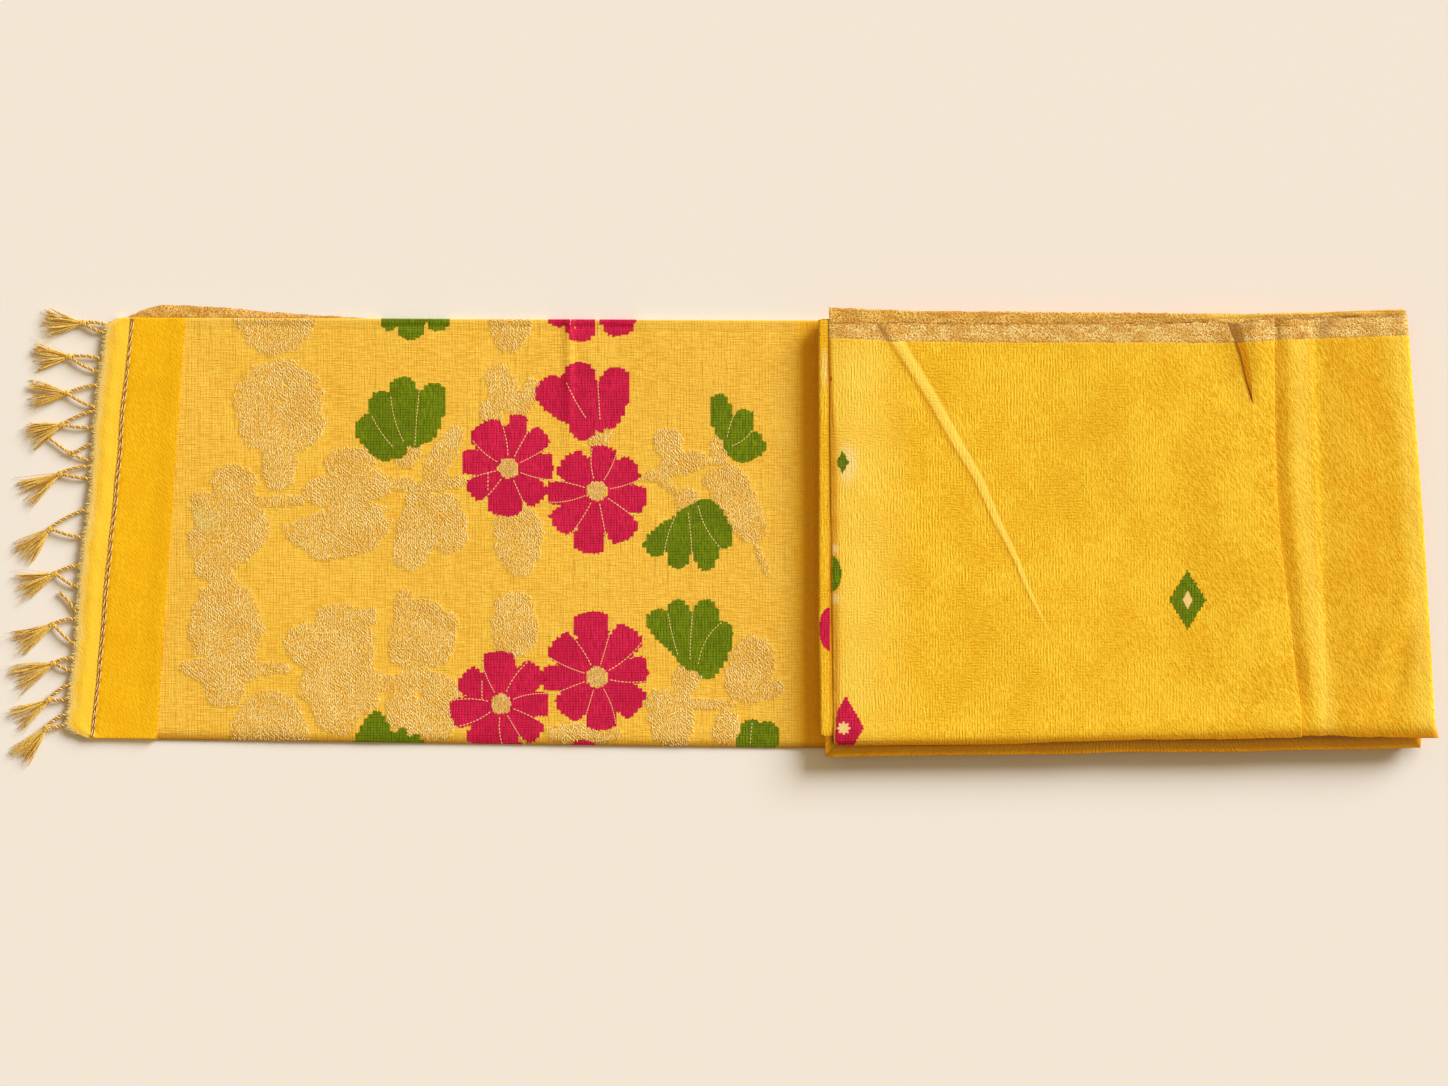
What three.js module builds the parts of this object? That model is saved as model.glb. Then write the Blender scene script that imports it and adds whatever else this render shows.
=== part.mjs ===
// A folded saree lying on a table. Its woven end piece is laid out flat to the left, with knotted
// tassels along the end, and the rest of the length is folded into a packet on top of it, to the right.
// Millimetres, +Z up, +X from the tassels towards the packet, +Y towards the edge with the gold borders.
// The origin is on the table, under the middle of the whole thing.
import * as THREE from "three";

const { lerp, clamp, smoothstep, degToRad } = THREE.MathUtils;

// The cloth, folded in four across its width.
const sareeWidth = 1140;
const pliesAcross = 4;
const foldedWidth = sareeWidth / pliesAcross;
const seamGap = 0.3;

// The end piece laid out flat: the four plies of one folded width.
const strip = {
  ply: 1.2,
  lowerPlies: 2.0,
  frontLeft: -135.5,
  frontRight: -142,
  backLeft: 145,
  lipWidth: 2.2,
  foldRadius: 1.3,
};
strip.backRight = strip.frontRight + foldedWidth;
strip.top = strip.lowerPlies + seamGap + strip.ply;
strip.slantFrom = -420;
strip.slantTo = 63;

// Slanting lines across the end piece, as x at the front edge and at the back edge.
const fringeLine = { front: -438.2, back: -411.4 };
const threadLine = { front: -420.3, back: -393.9 };
const bandLine = { front: -377.7, back: -358.5 };
const hiddenEndLine = { front: 461, back: 447 };

// The satin band at the end of the cloth is a thicker weave, and rounds down to the fringed edge.
const band = { extraThickness: 0.5, rollWidth: 7, grooveDepth: 0.6, frontCornerCut: 12, backCornerCut: 8 };

// A soft standing crease in the net ground, and the pressed line beside its back edge.
const netCrease = { x: -102.3, halfWidth: 5, height: 1.2, fadesFrom: 110, fadesTo: 25 };
const pressedLine = { inset: 5, depth: 0.35 };

// The gold selvedge of a lower ply that slips out behind the back edge: how far it shows, along x.
const selvedgePeek = [
  { x: -404, out: 0.8 },
  { x: -393.7, out: 2.0 },
  { x: -383, out: 6.6 },
  { x: -372.3, out: 8.6 },
  { x: -352, out: 8.0 },
  { x: -329, out: 6.4 },
  { x: -302, out: 4.2 },
  { x: -275.7, out: 2.2 },
  { x: -252, out: 0.9 },
];
const selvedgePeekHeight = { inner: 2.3, outer: 1.1 };

// The packet: folded layers stacked on the end piece, each with its own rounded edge.
const layerHeight = 2.35;
const layerRound = 1.1;
const packetLayers = [
  { left: 66.5, frontLeft: -143.5, frontRight: -139.0, rightFront: 460.0, rightBack: 450.0, back: 143.6 },
  { left: 64.8, frontLeft: -145.0, frontRight: -140.5, rightFront: 462.0, rightBack: 448.5, back: 144.6 },
  { left: 67.2, frontLeft: -142.8, frontRight: -139.5, rightFront: 459.5, rightBack: 450.8, back: 143.9 },
  { left: 63.0, frontLeft: -146.2, frontRight: -141.0, rightFront: 463.0, rightBack: 449.6, back: 145.0 },
  { left: 68.3, frontLeft: -148.4, frontRight: -142.4, rightFront: 465.0, rightBack: 451.0, back: 144.2 },
];
const packetBase = strip.top + seamGap;
const packetCorner = 4;
const layersTop = packetBase + packetLayers.length * layerHeight;

// The top ply of the packet: its front edge is a fold, its back edge is the gold border.
const top = { ply: 1.5, foldRadius: 0.75, waveHeight: 0.35 };
top.base = layersTop + seamGap;
top.front = [
  { x: 73, y: -140.2 },
  { x: 184, y: -139.4 },
  { x: 318, y: -137.3 },
  { x: 385, y: -135.4 },
  { x: 478, y: -134.9 },
];
const borderSeam = [
  { x: 70, y: 128.9 },
  { x: 184, y: 128.2 },
  { x: 344, y: 127.9 },
  { x: 368, y: 129.9 },
  { x: 455, y: 132.9 },
];
const selvedgeEdge = [
  { x: 70, y: 140.6 },
  { x: 184, y: 140.0 },
  { x: 344, y: 141.2 },
  { x: 368, y: 143.4 },
  { x: 455, y: 146.0 },
];
const underBorderEdge = [
  { x: 69.7, y: 151.3 },
  { x: 131, y: 148.9 },
  { x: 251, y: 148.1 },
  { x: 344, y: 147.1 },
  { x: 400, y: 148.4 },
  { x: 454, y: 150.2 },
];
const underBorderHeight = 1.0;

// Fold lines of the top ply, each as x at given y from front to back.
const leftEdge = [
  { y: -140, x: 73.2 },
  { y: 0, x: 71.6 },
  { y: 142, x: 69.7 },
];
const diagonalCrease = {
  line: [
    { y: -142, x: 236 },
    { y: -70, x: 219 },
    { y: 128, x: 110 },
    { y: 142, x: 104 },
  ],
  ends: -70,
  height: 1.3,
  leftFoot: 5.5,
  rightFoot: 3,
};
const pinchedTuck = {
  line: [
    { y: -142, x: 357 },
    { y: 82, x: 351.5 },
    { y: 142, x: 336.5 },
  ],
  apex: 82,
  lift: 1.3,
  dip: 0.75,
  open: 19,
  closed: 3.2,
};
const overlapEdge = [
  { y: -142, x: 382.6 },
  { y: -43, x: 374.3 },
  { y: 57, x: 369 },
  { y: 142, x: 366.4 },
];
const overlapLift = 1.3;
const overlapWidth = 16;
const softRidge = {
  line: [
    { y: -142, x: 401.5 },
    { y: 57, x: 396 },
    { y: 150, x: 392 },
  ],
  height: 0.9,
  halfWidth: 8,
};
const rightEdge = [
  { y: -136, x: 475.7 },
  { y: -128, x: 473.4 },
  { y: 0, x: 466 },
  { y: 150, x: 454.4 },
];
const rightDrop = 3.4;

// Tassels along the fringed end, back to front: where each knot lies, the y at which its two twisted
// cords leave the cloth, the tail's length and the turn of the tail from straight out.
const tassels = [
  { knotX: -427.1, knotY: 141.2, rootBack: 139.6, rootFront: 134.8, tail: 26, turn: 0, spread: 16 },
  { knotX: -436.4, knotY: 118.8, rootBack: 117.1, rootFront: 108.1, tail: 22, turn: -4, spread: 14 },
  { knotX: -437.8, knotY: 94.5, rootBack: 100.1, rootFront: 84.7, tail: 25, turn: 1, spread: 15 },
  { knotX: -447.5, knotY: 68.1, rootBack: 72.3, rootFront: 60.5, tail: 17.5, turn: -11, spread: 19 },
  { knotX: -442.4, knotY: 40.5, rootBack: 46.0, rootFront: 38.0, tail: 28, turn: -32, spread: 17 },
  { knotX: -449.2, knotY: 3.5, rootBack: 17.9, rootFront: -1.6, tail: 25.5, turn: -42, spread: 17 },
  { knotX: -445.8, knotY: -26.0, rootBack: -20.0, rootFront: -35.3, tail: 26, turn: -23, spread: 18 },
  { knotX: -447.5, knotY: -60.0, rootBack: -55.7, rootFront: -73.6, tail: 28, turn: -29, spread: 16 },
  { knotX: -446.8, knotY: -85.6, rootBack: -82.1, rootFront: -90.4, tail: 29, turn: -23, spread: 18 },
  { knotX: -450.0, knotY: -110.2, rootBack: -98.3, rootFront: -107.6, tail: 26, turn: -31, spread: 15 },
  { knotX: -451.7, knotY: -129.0, rootBack: -118.4, rootFront: -124.7, tail: 27, turn: -47, spread: 14 },
];
const cord = {
  radius: 0.8,
  squash: 0.62,
  twist: 2 * Math.PI,
  steps: 8,
  rootHeight: 0.9,
  seatShare: 0.6,
  mostBow: 1.6,
};
const knot = {
  height: 1.7,
  sections: [
    { from: -2.8, wide: 1.35, tall: 0.85 },
    { from: -1.5, wide: 1.85, tall: 1.4 },
    { from: 0.2, wide: 2.0, tall: 1.55 },
    { from: 1.7, wide: 1.7, tall: 1.3 },
    { from: 2.7, wide: 1.3, tall: 0.95 },
  ],
};
const tail = {
  strands: 10,
  radius: 0.42,
  floorGap: 0.12,
  lift: 0.45,
  arch: 0.35,
  closeShare: 0.4,
  closeHeight: 1.35,
  closeExtra: 0.8,
  closeTall: 0.9,
};

const colours = {
  netGround: { color: "#f0b73c", roughness: 0.62, metalness: 0 },
  satin: { color: "#f8b91b", roughness: 0.45, metalness: 0 },
  body: { color: "#f5bb2e", roughness: 0.55, metalness: 0 },
  folds: { color: "#c98a17", roughness: 0.6, metalness: 0 },
  zari: { color: "#d19a3f", roughness: 0.38, metalness: 0.5 },
  tassel: { color: "#d9a24d", roughness: 0.42, metalness: 0.25 },
};

// The value of a bent line at one place, from points given in rising order of one column.
function along(line, from, to, value) {
  const next = clamp(line.findIndex((point) => point[from] > value), 1, line.length - 1);
  const reached = value > line.at(-1)[from] ? line.length - 1 : next;
  const [a, b] = [line[reached - 1], line[reached]];
  return lerp(a[to], b[to], clamp((value - a[from]) / (b[from] - a[from]), 0, 1));
}
const xOf = (line) => (y) => along(line, "y", "x", y);
const yOf = (line) => (x) => along(line, "x", "y", x);

// Collects a closed surface from rings of points. Each ring runs out and back, so that point k
// faces point count - 1 - k, and an end is closed by the strip between the two halves.
class Surface {
  points = [];
  faces = [];

  ring(points) {
    const first = this.points.length;
    this.points.push(...points);
    return points.map((_, k) => first + k);
  }

  quad(a, b, c, d) {
    this.faces.push(a, b, c, a, c, d);
  }

  bridge(from, to) {
    from.forEach((corner, k) => {
      const next = (k + 1) % from.length;
      this.quad(corner, to[k], to[next], from[next]);
    });
  }

  cell(ring, k) {
    const facing = ring.length - 1 - k;
    return [ring[k], ring[k + 1], ring[facing - 1], ring[facing]];
  }

  closeStart(ring, from = 0, to = ring.length / 2 - 1) {
    for (let k = from; k < to; k++) this.quad(...this.cell(ring, k));
  }

  closeEnd(ring) {
    for (let k = 0; k + 1 < ring.length / 2; k++) this.quad(...this.cell(ring, k).reverse());
  }

  // The faces are all turned over if they point inwards.
  geometry() {
    let volume = 0;
    for (let i = 0; i < this.faces.length; i += 3) {
      const [a, b, c] = this.faces.slice(i, i + 3).map((corner) => this.points[corner]);
      volume += a.dot(b.clone().cross(c));
    }
    const geometry = new THREE.BufferGeometry().setFromPoints(this.points);
    geometry.setIndex(volume < 0 ? this.faces.toReversed() : this.faces);
    geometry.computeVertexNormals();
    return geometry;
  }
}

function loft(rings) {
  const surface = new Surface();
  const placed = rings.map((points) => surface.ring(points));
  placed.slice(1).forEach((ring, index) => surface.bridge(placed[index], ring));
  surface.closeStart(placed[0]);
  surface.closeEnd(placed.at(-1));
  return surface.geometry();
}

function piece(name, geometry, finish) {
  const mesh = new THREE.Mesh(geometry, new THREE.MeshStandardMaterial(finish));
  mesh.name = name;
  return mesh;
}

const spaced = (from, to, count) =>
  Array.from({ length: count }, (_, i) => lerp(from, to, i / (count - 1)));
const bump = (distance, halfWidth) => 1 - smoothstep(Math.abs(distance), 0, halfWidth);

// The quarter round of a fold, as distance in from the edge and drop from the flat, in three steps.
const roundSteps = (radius, angles = [0, 35, 65, 90]) =>
  angles.map((angle) => ({
    inset: radius * (1 - Math.cos(degToRad(angle))),
    drop: radius * (1 - Math.sin(degToRad(angle))),
  }));

// The end piece
const stripShare = (x) => clamp((x - strip.slantFrom) / (strip.slantTo - strip.slantFrom), 0, 1);
const stripFront = (x) => lerp(strip.frontLeft, strip.frontRight, stripShare(x));
const stripBack = (x) => lerp(strip.backLeft, strip.backRight, stripShare(x));
const slanted = (line) => (y) =>
  lerp(line.front, line.back, (y - strip.frontLeft) / (strip.backLeft - strip.frontLeft));

function netRelief(x, y) {
  const wave = 0.25 * Math.sin(x / 31 + y / 57) + 0.2 * Math.sin(x / 83 - y / 29);
  const crease = netCrease.height * bump(x - netCrease.x, netCrease.halfWidth);
  const pressed = pressedLine.depth * bump(stripBack(x) - pressedLine.inset - y, 2.5);
  return wave + crease * smoothstep(y, netCrease.fadesTo, netCrease.fadesFrom) - pressed;
}

// One cross section of a ply that turns down to the table at both edges, like an upturned tray.
// height(x, y) is its top. rows gives the points across it: steps in from each edge, and how many
// between. At a solid end the underside lies on the table all the way.
function traySection(lineX, rows, height, solidEnd = false) {
  const atEdge = (edge, side) => edge(lineX(edge === stripFront ? strip.frontLeft : strip.backLeft)) + side;
  const front = atEdge(stripFront, 0);
  const back = atEdge(stripBack, 0);
  const round = roundSteps(strip.foldRadius);
  const ys = [
    ...round.map((step) => front + step.inset),
    ...rows.fromFront.map((step) => front + step),
    ...spaced(front + 26, back - 22, rows.between),
    ...rows.fromBack.map((step) => back - step),
    ...round.toReversed().map((step) => back - step.inset),
  ];
  const flat = Array(ys.length - 2 * round.length).fill(0);
  const drops = [...round.map((step) => step.drop), ...flat, ...round.toReversed().map((step) => step.drop)];
  const point = (y, z) => new THREE.Vector3(lineX(y), y, z);
  const over = ys.map((y, i) => point(y, height(lineX(y), y) - drops[i]));
  over.unshift(point(front, 0));
  over.push(point(back, 0));

  const ceiling = solidEnd ? 0 : strip.lowerPlies + seamGap;
  const lipFront = front + strip.lipWidth;
  const lipBack = back - strip.lipWidth;
  const lip = [0, 0.4, 0.8, 1].map((share) => ceiling * share);
  const under = [
    ...lip.map((z, i) => point(lipFront + i * 0.05, z)),
    point(lipFront + 0.6, ceiling),
    ...ys.slice(4, -4).map((y) => point(y, ceiling)),
    point(lipBack - 0.6, ceiling),
    ...lip.toReversed().map((z, i) => point(lipBack - (3 - i) * 0.05, z)),
  ];
  return [...over, ...under.toReversed()];
}

const netRows = { fromFront: [4], between: 8, fromBack: [7.5, 5, 3.2] };
const bandRows = { fromFront: [4, 7, 10, 14], between: 14, fromBack: [12, 8, 4.5] };
const netTop = (x, y) => strip.top + netRelief(x, y) * smoothstep(70 - x, 0, 30);

function palluNet() {
  const seam = slanted(bandLine);
  const creaseXs = [-1, -0.5, 0, 0.5, 1].map((side) => netCrease.x + side * netCrease.halfWidth);
  const stations = [
    ...[0, 22, 48, 76, 104, 132, 160, 188, 216, 240].map((x) => (y) => seam(y) + seamGap + x),
    ...[...creaseXs, -76, -50, -24, 4, 32, 66, 200].map((x) => () => x),
    slanted(hiddenEndLine),
  ];
  return loft(stations.map((x) => traySection(x, netRows, netTop)));
}

// The fringed edge, cut across at both corners and slightly wavy.
function fringeEdge(y) {
  const backCut = band.backCornerCut * smoothstep(y, 137, 145);
  const frontCut = band.frontCornerCut * (1 - smoothstep(y, -136, -125.5));
  return slanted(fringeLine)(y) + backCut + frontCut + 0.5 * Math.sin(y / 17);
}

// The satin band rolls down to the fringed end, with a stitched groove beside the roll.
function endBand() {
  const flat = strip.top + band.extraThickness;
  const groove = slanted(threadLine);
  const height = (x, y) => {
    const inward = x - fringeEdge(y);
    const roll = 2.6 * (1 - Math.sqrt(clamp(1 - (1 - inward / band.rollWidth) ** 2, 0, 1)));
    return (
      flat -
      (inward < band.rollWidth ? roll : 0) -
      band.grooveDepth * bump(x - groove(y), 1.6) +
      0.2 * Math.sin(y / 23 + x / 40)
    );
  };
  const inside = (distance) => (y) => fringeEdge(y) + distance;
  const seam = slanted(bandLine);
  const stations = [
    { x: inside(0), solid: true },
    { x: inside(0.7), solid: true },
    { x: inside(2.4), solid: true },
    { x: inside(2.5) },
    { x: (y) => Math.min(fringeEdge(y) + band.rollWidth, groove(y) - 2.2) },
    { x: (y) => groove(y) - 1.6 },
    { x: (y) => groove(y) },
    { x: (y) => groove(y) + 1.6 },
    { x: (y) => lerp(groove(y), seam(y), 0.5) },
    { x: (y) => seam(y) - 0.6 },
    { x: (y) => seam(y) },
  ];
  return loft(stations.map(({ x, solid }) => traySection(x, bandRows, height, solid)));
}

// The plies under the end piece, as one solid with a groove between the layers at its edges.
function lowerPlies() {
  const clear = strip.lipWidth + seamGap;
  const left = (y) => slanted(fringeLine)(y) + clear + 4 + band.frontCornerCut * smoothstep(Math.abs(y), 120, 147);
  const half = strip.lowerPlies / 2;
  const profile = [
    { z: 0, inset: 0.35 },
    { z: half * 0.5, inset: 0 },
    { z: half - 0.08, inset: 0.35 },
    { z: half + 0.08, inset: 0.75 },
    { z: half * 1.5, inset: 0.4 },
    { z: strip.lowerPlies, inset: 0.75 },
  ];
  const xs = [0, 0.06, 0.2, 0.4, 0.58, 0.8, 1];
  const rings = profile.map(({ z, inset }) => {
    const edge = (y, share) => lerp(left(y) + inset, slanted(hiddenEndLine)(y) - 3 - inset, share);
    const front = xs.map((share) => {
      const x = edge(strip.frontLeft + clear, share);
      return new THREE.Vector3(x, stripFront(x) + clear + inset, z);
    });
    const back = xs.toReversed().map((share) => {
      const x = edge(strip.backLeft - clear, share);
      return new THREE.Vector3(x, stripBack(x) - clear - inset, z);
    });
    return [...front, ...back];
  });
  return loft(rings);
}

function selvedgePeekWall() {
  const rings = selvedgePeek.map(({ x, out }) => {
    const inner = stripBack(x) + seamGap;
    const { inner: high, outer: low } = selvedgePeekHeight;
    const section = [
      [inner, 0],
      [inner, high],
      [inner + out * 0.6, lerp(high, low, 0.5)],
      [inner + out, low],
      [inner + out + 0.25, low * 0.5],
      [inner + out, 0],
    ];
    return section.map(([y, z]) => new THREE.Vector3(x, y, z));
  });
  return loft(rings);
}

// The packet
function foldedLayers() {
  const lip = [0.02, 0.16, 0.5, 0.84, 0.98];
  const shares = [0, 0.25, 0.5, 0.75, 1];
  const rings = packetLayers.flatMap((layer, index) =>
    lip.map((share) => {
      const z = packetBase + (index + share) * layerHeight;
      const inset = layerRound * (1 - Math.sqrt(1 - (2 * share - 1) ** 2));
      const left = layer.left + inset;
      const front = (x) =>
        inset + lerp(layer.frontLeft, layer.frontRight, (x - layer.left) / (layer.rightFront - layer.left));
      const back = layer.back - inset;
      const point = (x, y) => new THREE.Vector3(x, y, z);
      const rightFront = layer.rightFront - inset;
      const rightBack = layer.rightBack - inset;
      return [
        point(left, front(left) + packetCorner),
        ...shares.map((s) => lerp(left + packetCorner, rightFront - packetCorner, s)).map((x) => point(x, front(x))),
        point(rightFront, front(rightFront) + packetCorner),
        point(rightBack, back - packetCorner),
        ...shares.map((s) => lerp(rightBack - packetCorner, left + packetCorner, s)).map((x) => point(x, back)),
        point(left, back - packetCorner),
      ];
    }),
  );
  return loft(rings);
}

// The top ply is described by lines from front to back, each with its own lift above the flat.
const topWave = (x, y) =>
  top.waveHeight * (Math.sin(x / 47 + y / 71) * 0.6 + Math.sin(x / 29 - y / 43) * 0.4);
const flatLine = (line, lift = () => 0) => ({ x: xOf(line), lift });
const shifted = (line, distance, lift = () => 0) => ({ x: (y) => line.x(y) + distance, lift });
const between = (a, b, count) =>
  spaced(0, 1, count + 2)
    .slice(1, -1)
    .map((share) => ({ x: (y) => lerp(a.x(y), b.x(y), share), lift: () => 0 }));

// thin is the share of the ply's thickness kept at a rounded edge, and drop lowers the whole line.
function edgeRound(line, side) {
  return roundSteps(top.foldRadius, [15, 45, 90]).map(({ inset, drop }) => ({
    x: (y) => line.x(y) + side * inset,
    lift: line.lift,
    thin: 1 - drop / top.foldRadius,
  }));
}

function faceLines() {
  const left = flatLine(leftEdge);
  const crest = flatLine(
    diagonalCrease.line,
    (y) => diagonalCrease.height * Math.sqrt(clamp((y - diagonalCrease.ends) / (128 - diagonalCrease.ends), 0, 1)),
  );
  const creaseLeft = shifted(crest, -diagonalCrease.leftFoot);
  const creaseRight = shifted(crest, diagonalCrease.rightFoot);
  const open = (y) => smoothstep(y, pinchedTuck.apex, 130);
  const tuck = flatLine(pinchedTuck.line, (y) => pinchedTuck.lift * open(y));
  const tuckFoot = shifted(tuck, -7);
  const tuckDip = shifted(tuck, 1.6, (y) => -pinchedTuck.dip * open(y));
  const tuckRight = {
    x: (y) => tuck.x(y) + lerp(pinchedTuck.closed, pinchedTuck.open, open(y)),
    lift: () => 0,
  };
  const step = flatLine(overlapEdge, () => overlapLift);
  const stepFoot = {
    x: (y) => Math.max(step.x(y) - overlapWidth, tuckRight.x(y) + 1.5),
    lift: () => 0,
  };
  const stepMiddle = {
    x: (y) => lerp(stepFoot.x(y), step.x(y), 0.6),
    lift: () => overlapLift * 0.8,
  };
  return [
    ...edgeRound(left, 1),
    shifted(left, 16),
    creaseLeft,
    crest,
    creaseRight,
    ...between(creaseRight, tuckFoot, 6),
    tuckFoot,
    tuck,
    tuckDip,
    tuckRight,
    stepFoot,
    stepMiddle,
    ...edgeRound(step, -1).toReversed(),
  ];
}

function tailLines() {
  const start = { x: (y) => xOf(overlapEdge)(y) + seamGap, lift: () => -0.2 };
  const ridge = flatLine(softRidge.line, () => softRidge.height);
  const right = flatLine(rightEdge);
  return [
    start,
    shifted(ridge, -softRidge.halfWidth),
    ridge,
    shifted(ridge, softRidge.halfWidth),
    ...between(shifted(ridge, softRidge.halfWidth), shifted(right, -9), 2),
    shifted(right, -9),
    shifted(right, -3.4, () => -0.7),
    { x: right.x, lift: () => -rightDrop + 0.9, drops: rightDrop },
  ];
}

// A wall that follows the given lines, between a front and a back edge. roundFront rounds its front.
function plyWall(lines, frontEdge, backEdge, inner, roundFront) {
  const round = roundFront ? roundSteps(top.foldRadius, [15, 45, 90]) : [{ inset: 0, drop: 0 }];
  const rings = lines.map(({ x: lineX, lift, thin = 1, drops = 0 }) => {
    const front = frontEdge(lineX(frontEdge(lineX(0))));
    const back = backEdge(lineX(backEdge(lineX(0))));
    const flat = spaced(front + round.at(-1).inset, back, inner + 1).slice(1);
    const ys = [...round.map((step) => front + step.inset), ...flat];
    const shares = [...round.map((step) => 1 - step.drop / top.foldRadius), ...flat.map(() => 1)];
    const over = [];
    const under = [];
    ys.forEach((y, i) => {
      const x = lineX(y);
      const low = top.base - drops;
      const high = Math.max(top.base + top.ply + lift(y) + topWave(x, y), low + 0.5);
      const middle = (low + high) / 2;
      const half = ((high - low) / 2) * Math.min(thin, shares[i]);
      over.push(new THREE.Vector3(x, y, middle + half));
      under.push(new THREE.Vector3(x, y, middle - half));
    });
    return [...over, ...under.toReversed()];
  });
  return loft(rings);
}

const shiftedEdge = (edge, distance) => (x) => yOf(edge)(x) + distance;
const bodyFace = () => plyWall(faceLines(), yOf(top.front), shiftedEdge(borderSeam, 0), 13, true);
const bodyTail = () => plyWall(tailLines(), yOf(top.front), shiftedEdge(borderSeam, 0), 11, true);
const faceBorder = () => plyWall(faceLines(), shiftedEdge(borderSeam, seamGap), yOf(selvedgeEdge), 2, false);
const tailBorder = () => plyWall(tailLines(), shiftedEdge(borderSeam, seamGap), yOf(selvedgeEdge), 2, false);

// The border of the ply beneath shows behind the top ply's own border.
function underBorder() {
  const xs = [70.2, 72, 100, 131, 190, 251, 300, 344, 368, 400, 430, 450, 451.6];
  const rings = xs.map((x, index) => {
    const inner = yOf(selvedgeEdge)(x) + seamGap + 0.15 * bump(x - 344, 24);
    const outer = yOf(underBorderEdge)(x);
    const thin = index === 0 || index === xs.length - 1 ? 0.5 : 1;
    const high = top.base + underBorderHeight * thin + 0.12 * Math.sin(x / 7);
    const middle = (top.base + high) / 2;
    const section = [
      [inner, high],
      [lerp(inner, outer, 0.5), high - 0.1],
      [outer - 0.6, high - 0.1],
      [outer, middle + 0.15],
      [outer, middle - 0.15],
      [outer - 0.6, top.base],
      [lerp(inner, outer, 0.5), top.base],
      [inner, top.base],
    ];
    return section.map(([y, z]) => new THREE.Vector3(x, y, z));
  });
  return loft(rings);
}

// Tassels
// A ring of corners round a centre, so wide and so tall, first turned about its own middle.
const ovalRing = (centre, side, up, wide, tall, count, turn = 0) =>
  Array.from({ length: count }, (_, k) => {
    const angle = Math.PI * (1 - (2 * k + 1) / count);
    const flat = Math.cos(angle) * wide;
    const high = Math.sin(angle) * tall;
    return centre
      .clone()
      .addScaledVector(side, flat * Math.cos(turn) - high * Math.sin(turn))
      .addScaledVector(up, flat * Math.sin(turn) + high * Math.cos(turn));
  });

// Each tassel is one surface: two cords run into the knot, and the knot's far end splits into strands.
function tassel({ knotX, knotY, rootBack, rootFront, tail: length, turn, spread }) {
  const surface = new Surface();
  const upright = new THREE.Vector3(0, 0, 1);
  const heart = new THREE.Vector3(knotX, knotY, knot.height);
  const outward = (angle) =>
    new THREE.Vector3(-Math.cos(degToRad(angle)), Math.sin(degToRad(angle)), 0);
  const out = outward(turn);
  const beside = outward(turn + 90);
  const cells = tail.strands;
  const around = 2 * (cells + 1);

  const body = knot.sections.map(({ from, wide, tall }) => {
    const centre = heart.clone().addScaledVector(out, from);
    return surface.ring(ovalRing(centre, beside, upright, wide, tall, around));
  });
  const closeReach = length * tail.closeShare;
  const closeCentre = heart.clone().addScaledVector(out, closeReach).setZ(tail.closeHeight);
  const closeWide = (spread / 2) * tail.closeShare + tail.closeExtra;
  body.push(surface.ring(ovalRing(closeCentre, beside, upright, closeWide, tail.closeTall, around)));
  body.slice(1).forEach((ring, index) => surface.bridge(body[index], ring));

  const [knotStart, strandStart] = [body[0], body.at(-1)];
  const half = Math.floor(cells / 2) - 1;
  surface.closeStart(knotStart, half, cells - half);
  for (const { rootY, first, side } of [
    { rootY: rootFront, first: 0, side: -1 },
    { rootY: rootBack, first: cells - half, side: 1 },
  ]) {
    const over = knotStart.slice(first, first + half + 1);
    const under = knotStart.slice(around - 1 - first - half, around - first);
    const seat = heart
      .clone()
      .addScaledVector(out, knot.sections[0].from)
      .addScaledVector(beside, side * cord.seatShare * knot.sections[0].wide);
    const root = new THREE.Vector3(fringeEdge(rootY), rootY, cord.rootHeight);
    const middle = root.clone().lerp(seat, 0.5);
    middle.y += side * Math.min(cord.mostBow, Math.abs(rootY - knotY) * 0.12 + 0.4);
    const slope = (middle.y - rootY) / middle.distanceTo(root);
    root.x -= seamGap + cord.radius * Math.abs(slope) + 0.06;
    const path = new THREE.QuadraticBezierCurve3(root, middle, seat);
    const rings = spaced(0, 1, cord.steps + 1)
      .slice(0, -1)
      .map((share) => {
        const ahead = path.getTangent(share);
        const across = ahead.clone().cross(upright).normalize();
        const up = across.clone().cross(ahead);
        const twist = (1 - share) * cord.twist;
        const tall = cord.radius * cord.squash;
        return ovalRing(path.getPoint(share), across, up, cord.radius, tall, 2 * (half + 1), twist);
      })
      .map((points) => surface.ring(points));
    rings.push([...over, ...under]);
    surface.closeStart(rings[0]);
    rings.slice(1).forEach((ring, index) => surface.bridge(rings[index], ring));
  }

  const fan = THREE.MathUtils.radToDeg(Math.atan2(spread / 2, length));
  for (let strand = 0; strand < cells; strand++) {
    const place = ((strand + 0.5) / cells) * 2 - 1;
    const aim = outward(turn + place * fan);
    const across = outward(turn + place * fan + 90);
    const start = closeCentre.clone().addScaledVector(beside, place * closeWide);
    const end = heart.clone().addScaledVector(aim, length * (0.92 + 0.08 * Math.cos(strand * 2.4)));
    end.z = tail.floorGap + tail.radius + tail.lift * (1 + Math.sin(strand * 1.9));
    const rings = [surface.cell(strandStart, strand)];
    for (const share of [0.4, 0.75, 1]) {
      const centre = start.clone().lerp(end, share);
      centre.z += tail.arch * Math.sin(Math.PI * share);
      const radius = tail.radius * lerp(1.15, 0.85, share);
      rings.push(surface.ring(ovalRing(centre, across, upright, radius, radius, 4)));
    }
    rings.slice(1).forEach((ring, index) => surface.bridge(rings[index], ring));
    surface.closeEnd(rings.at(-1));
  }
  return surface.geometry();
}

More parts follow.
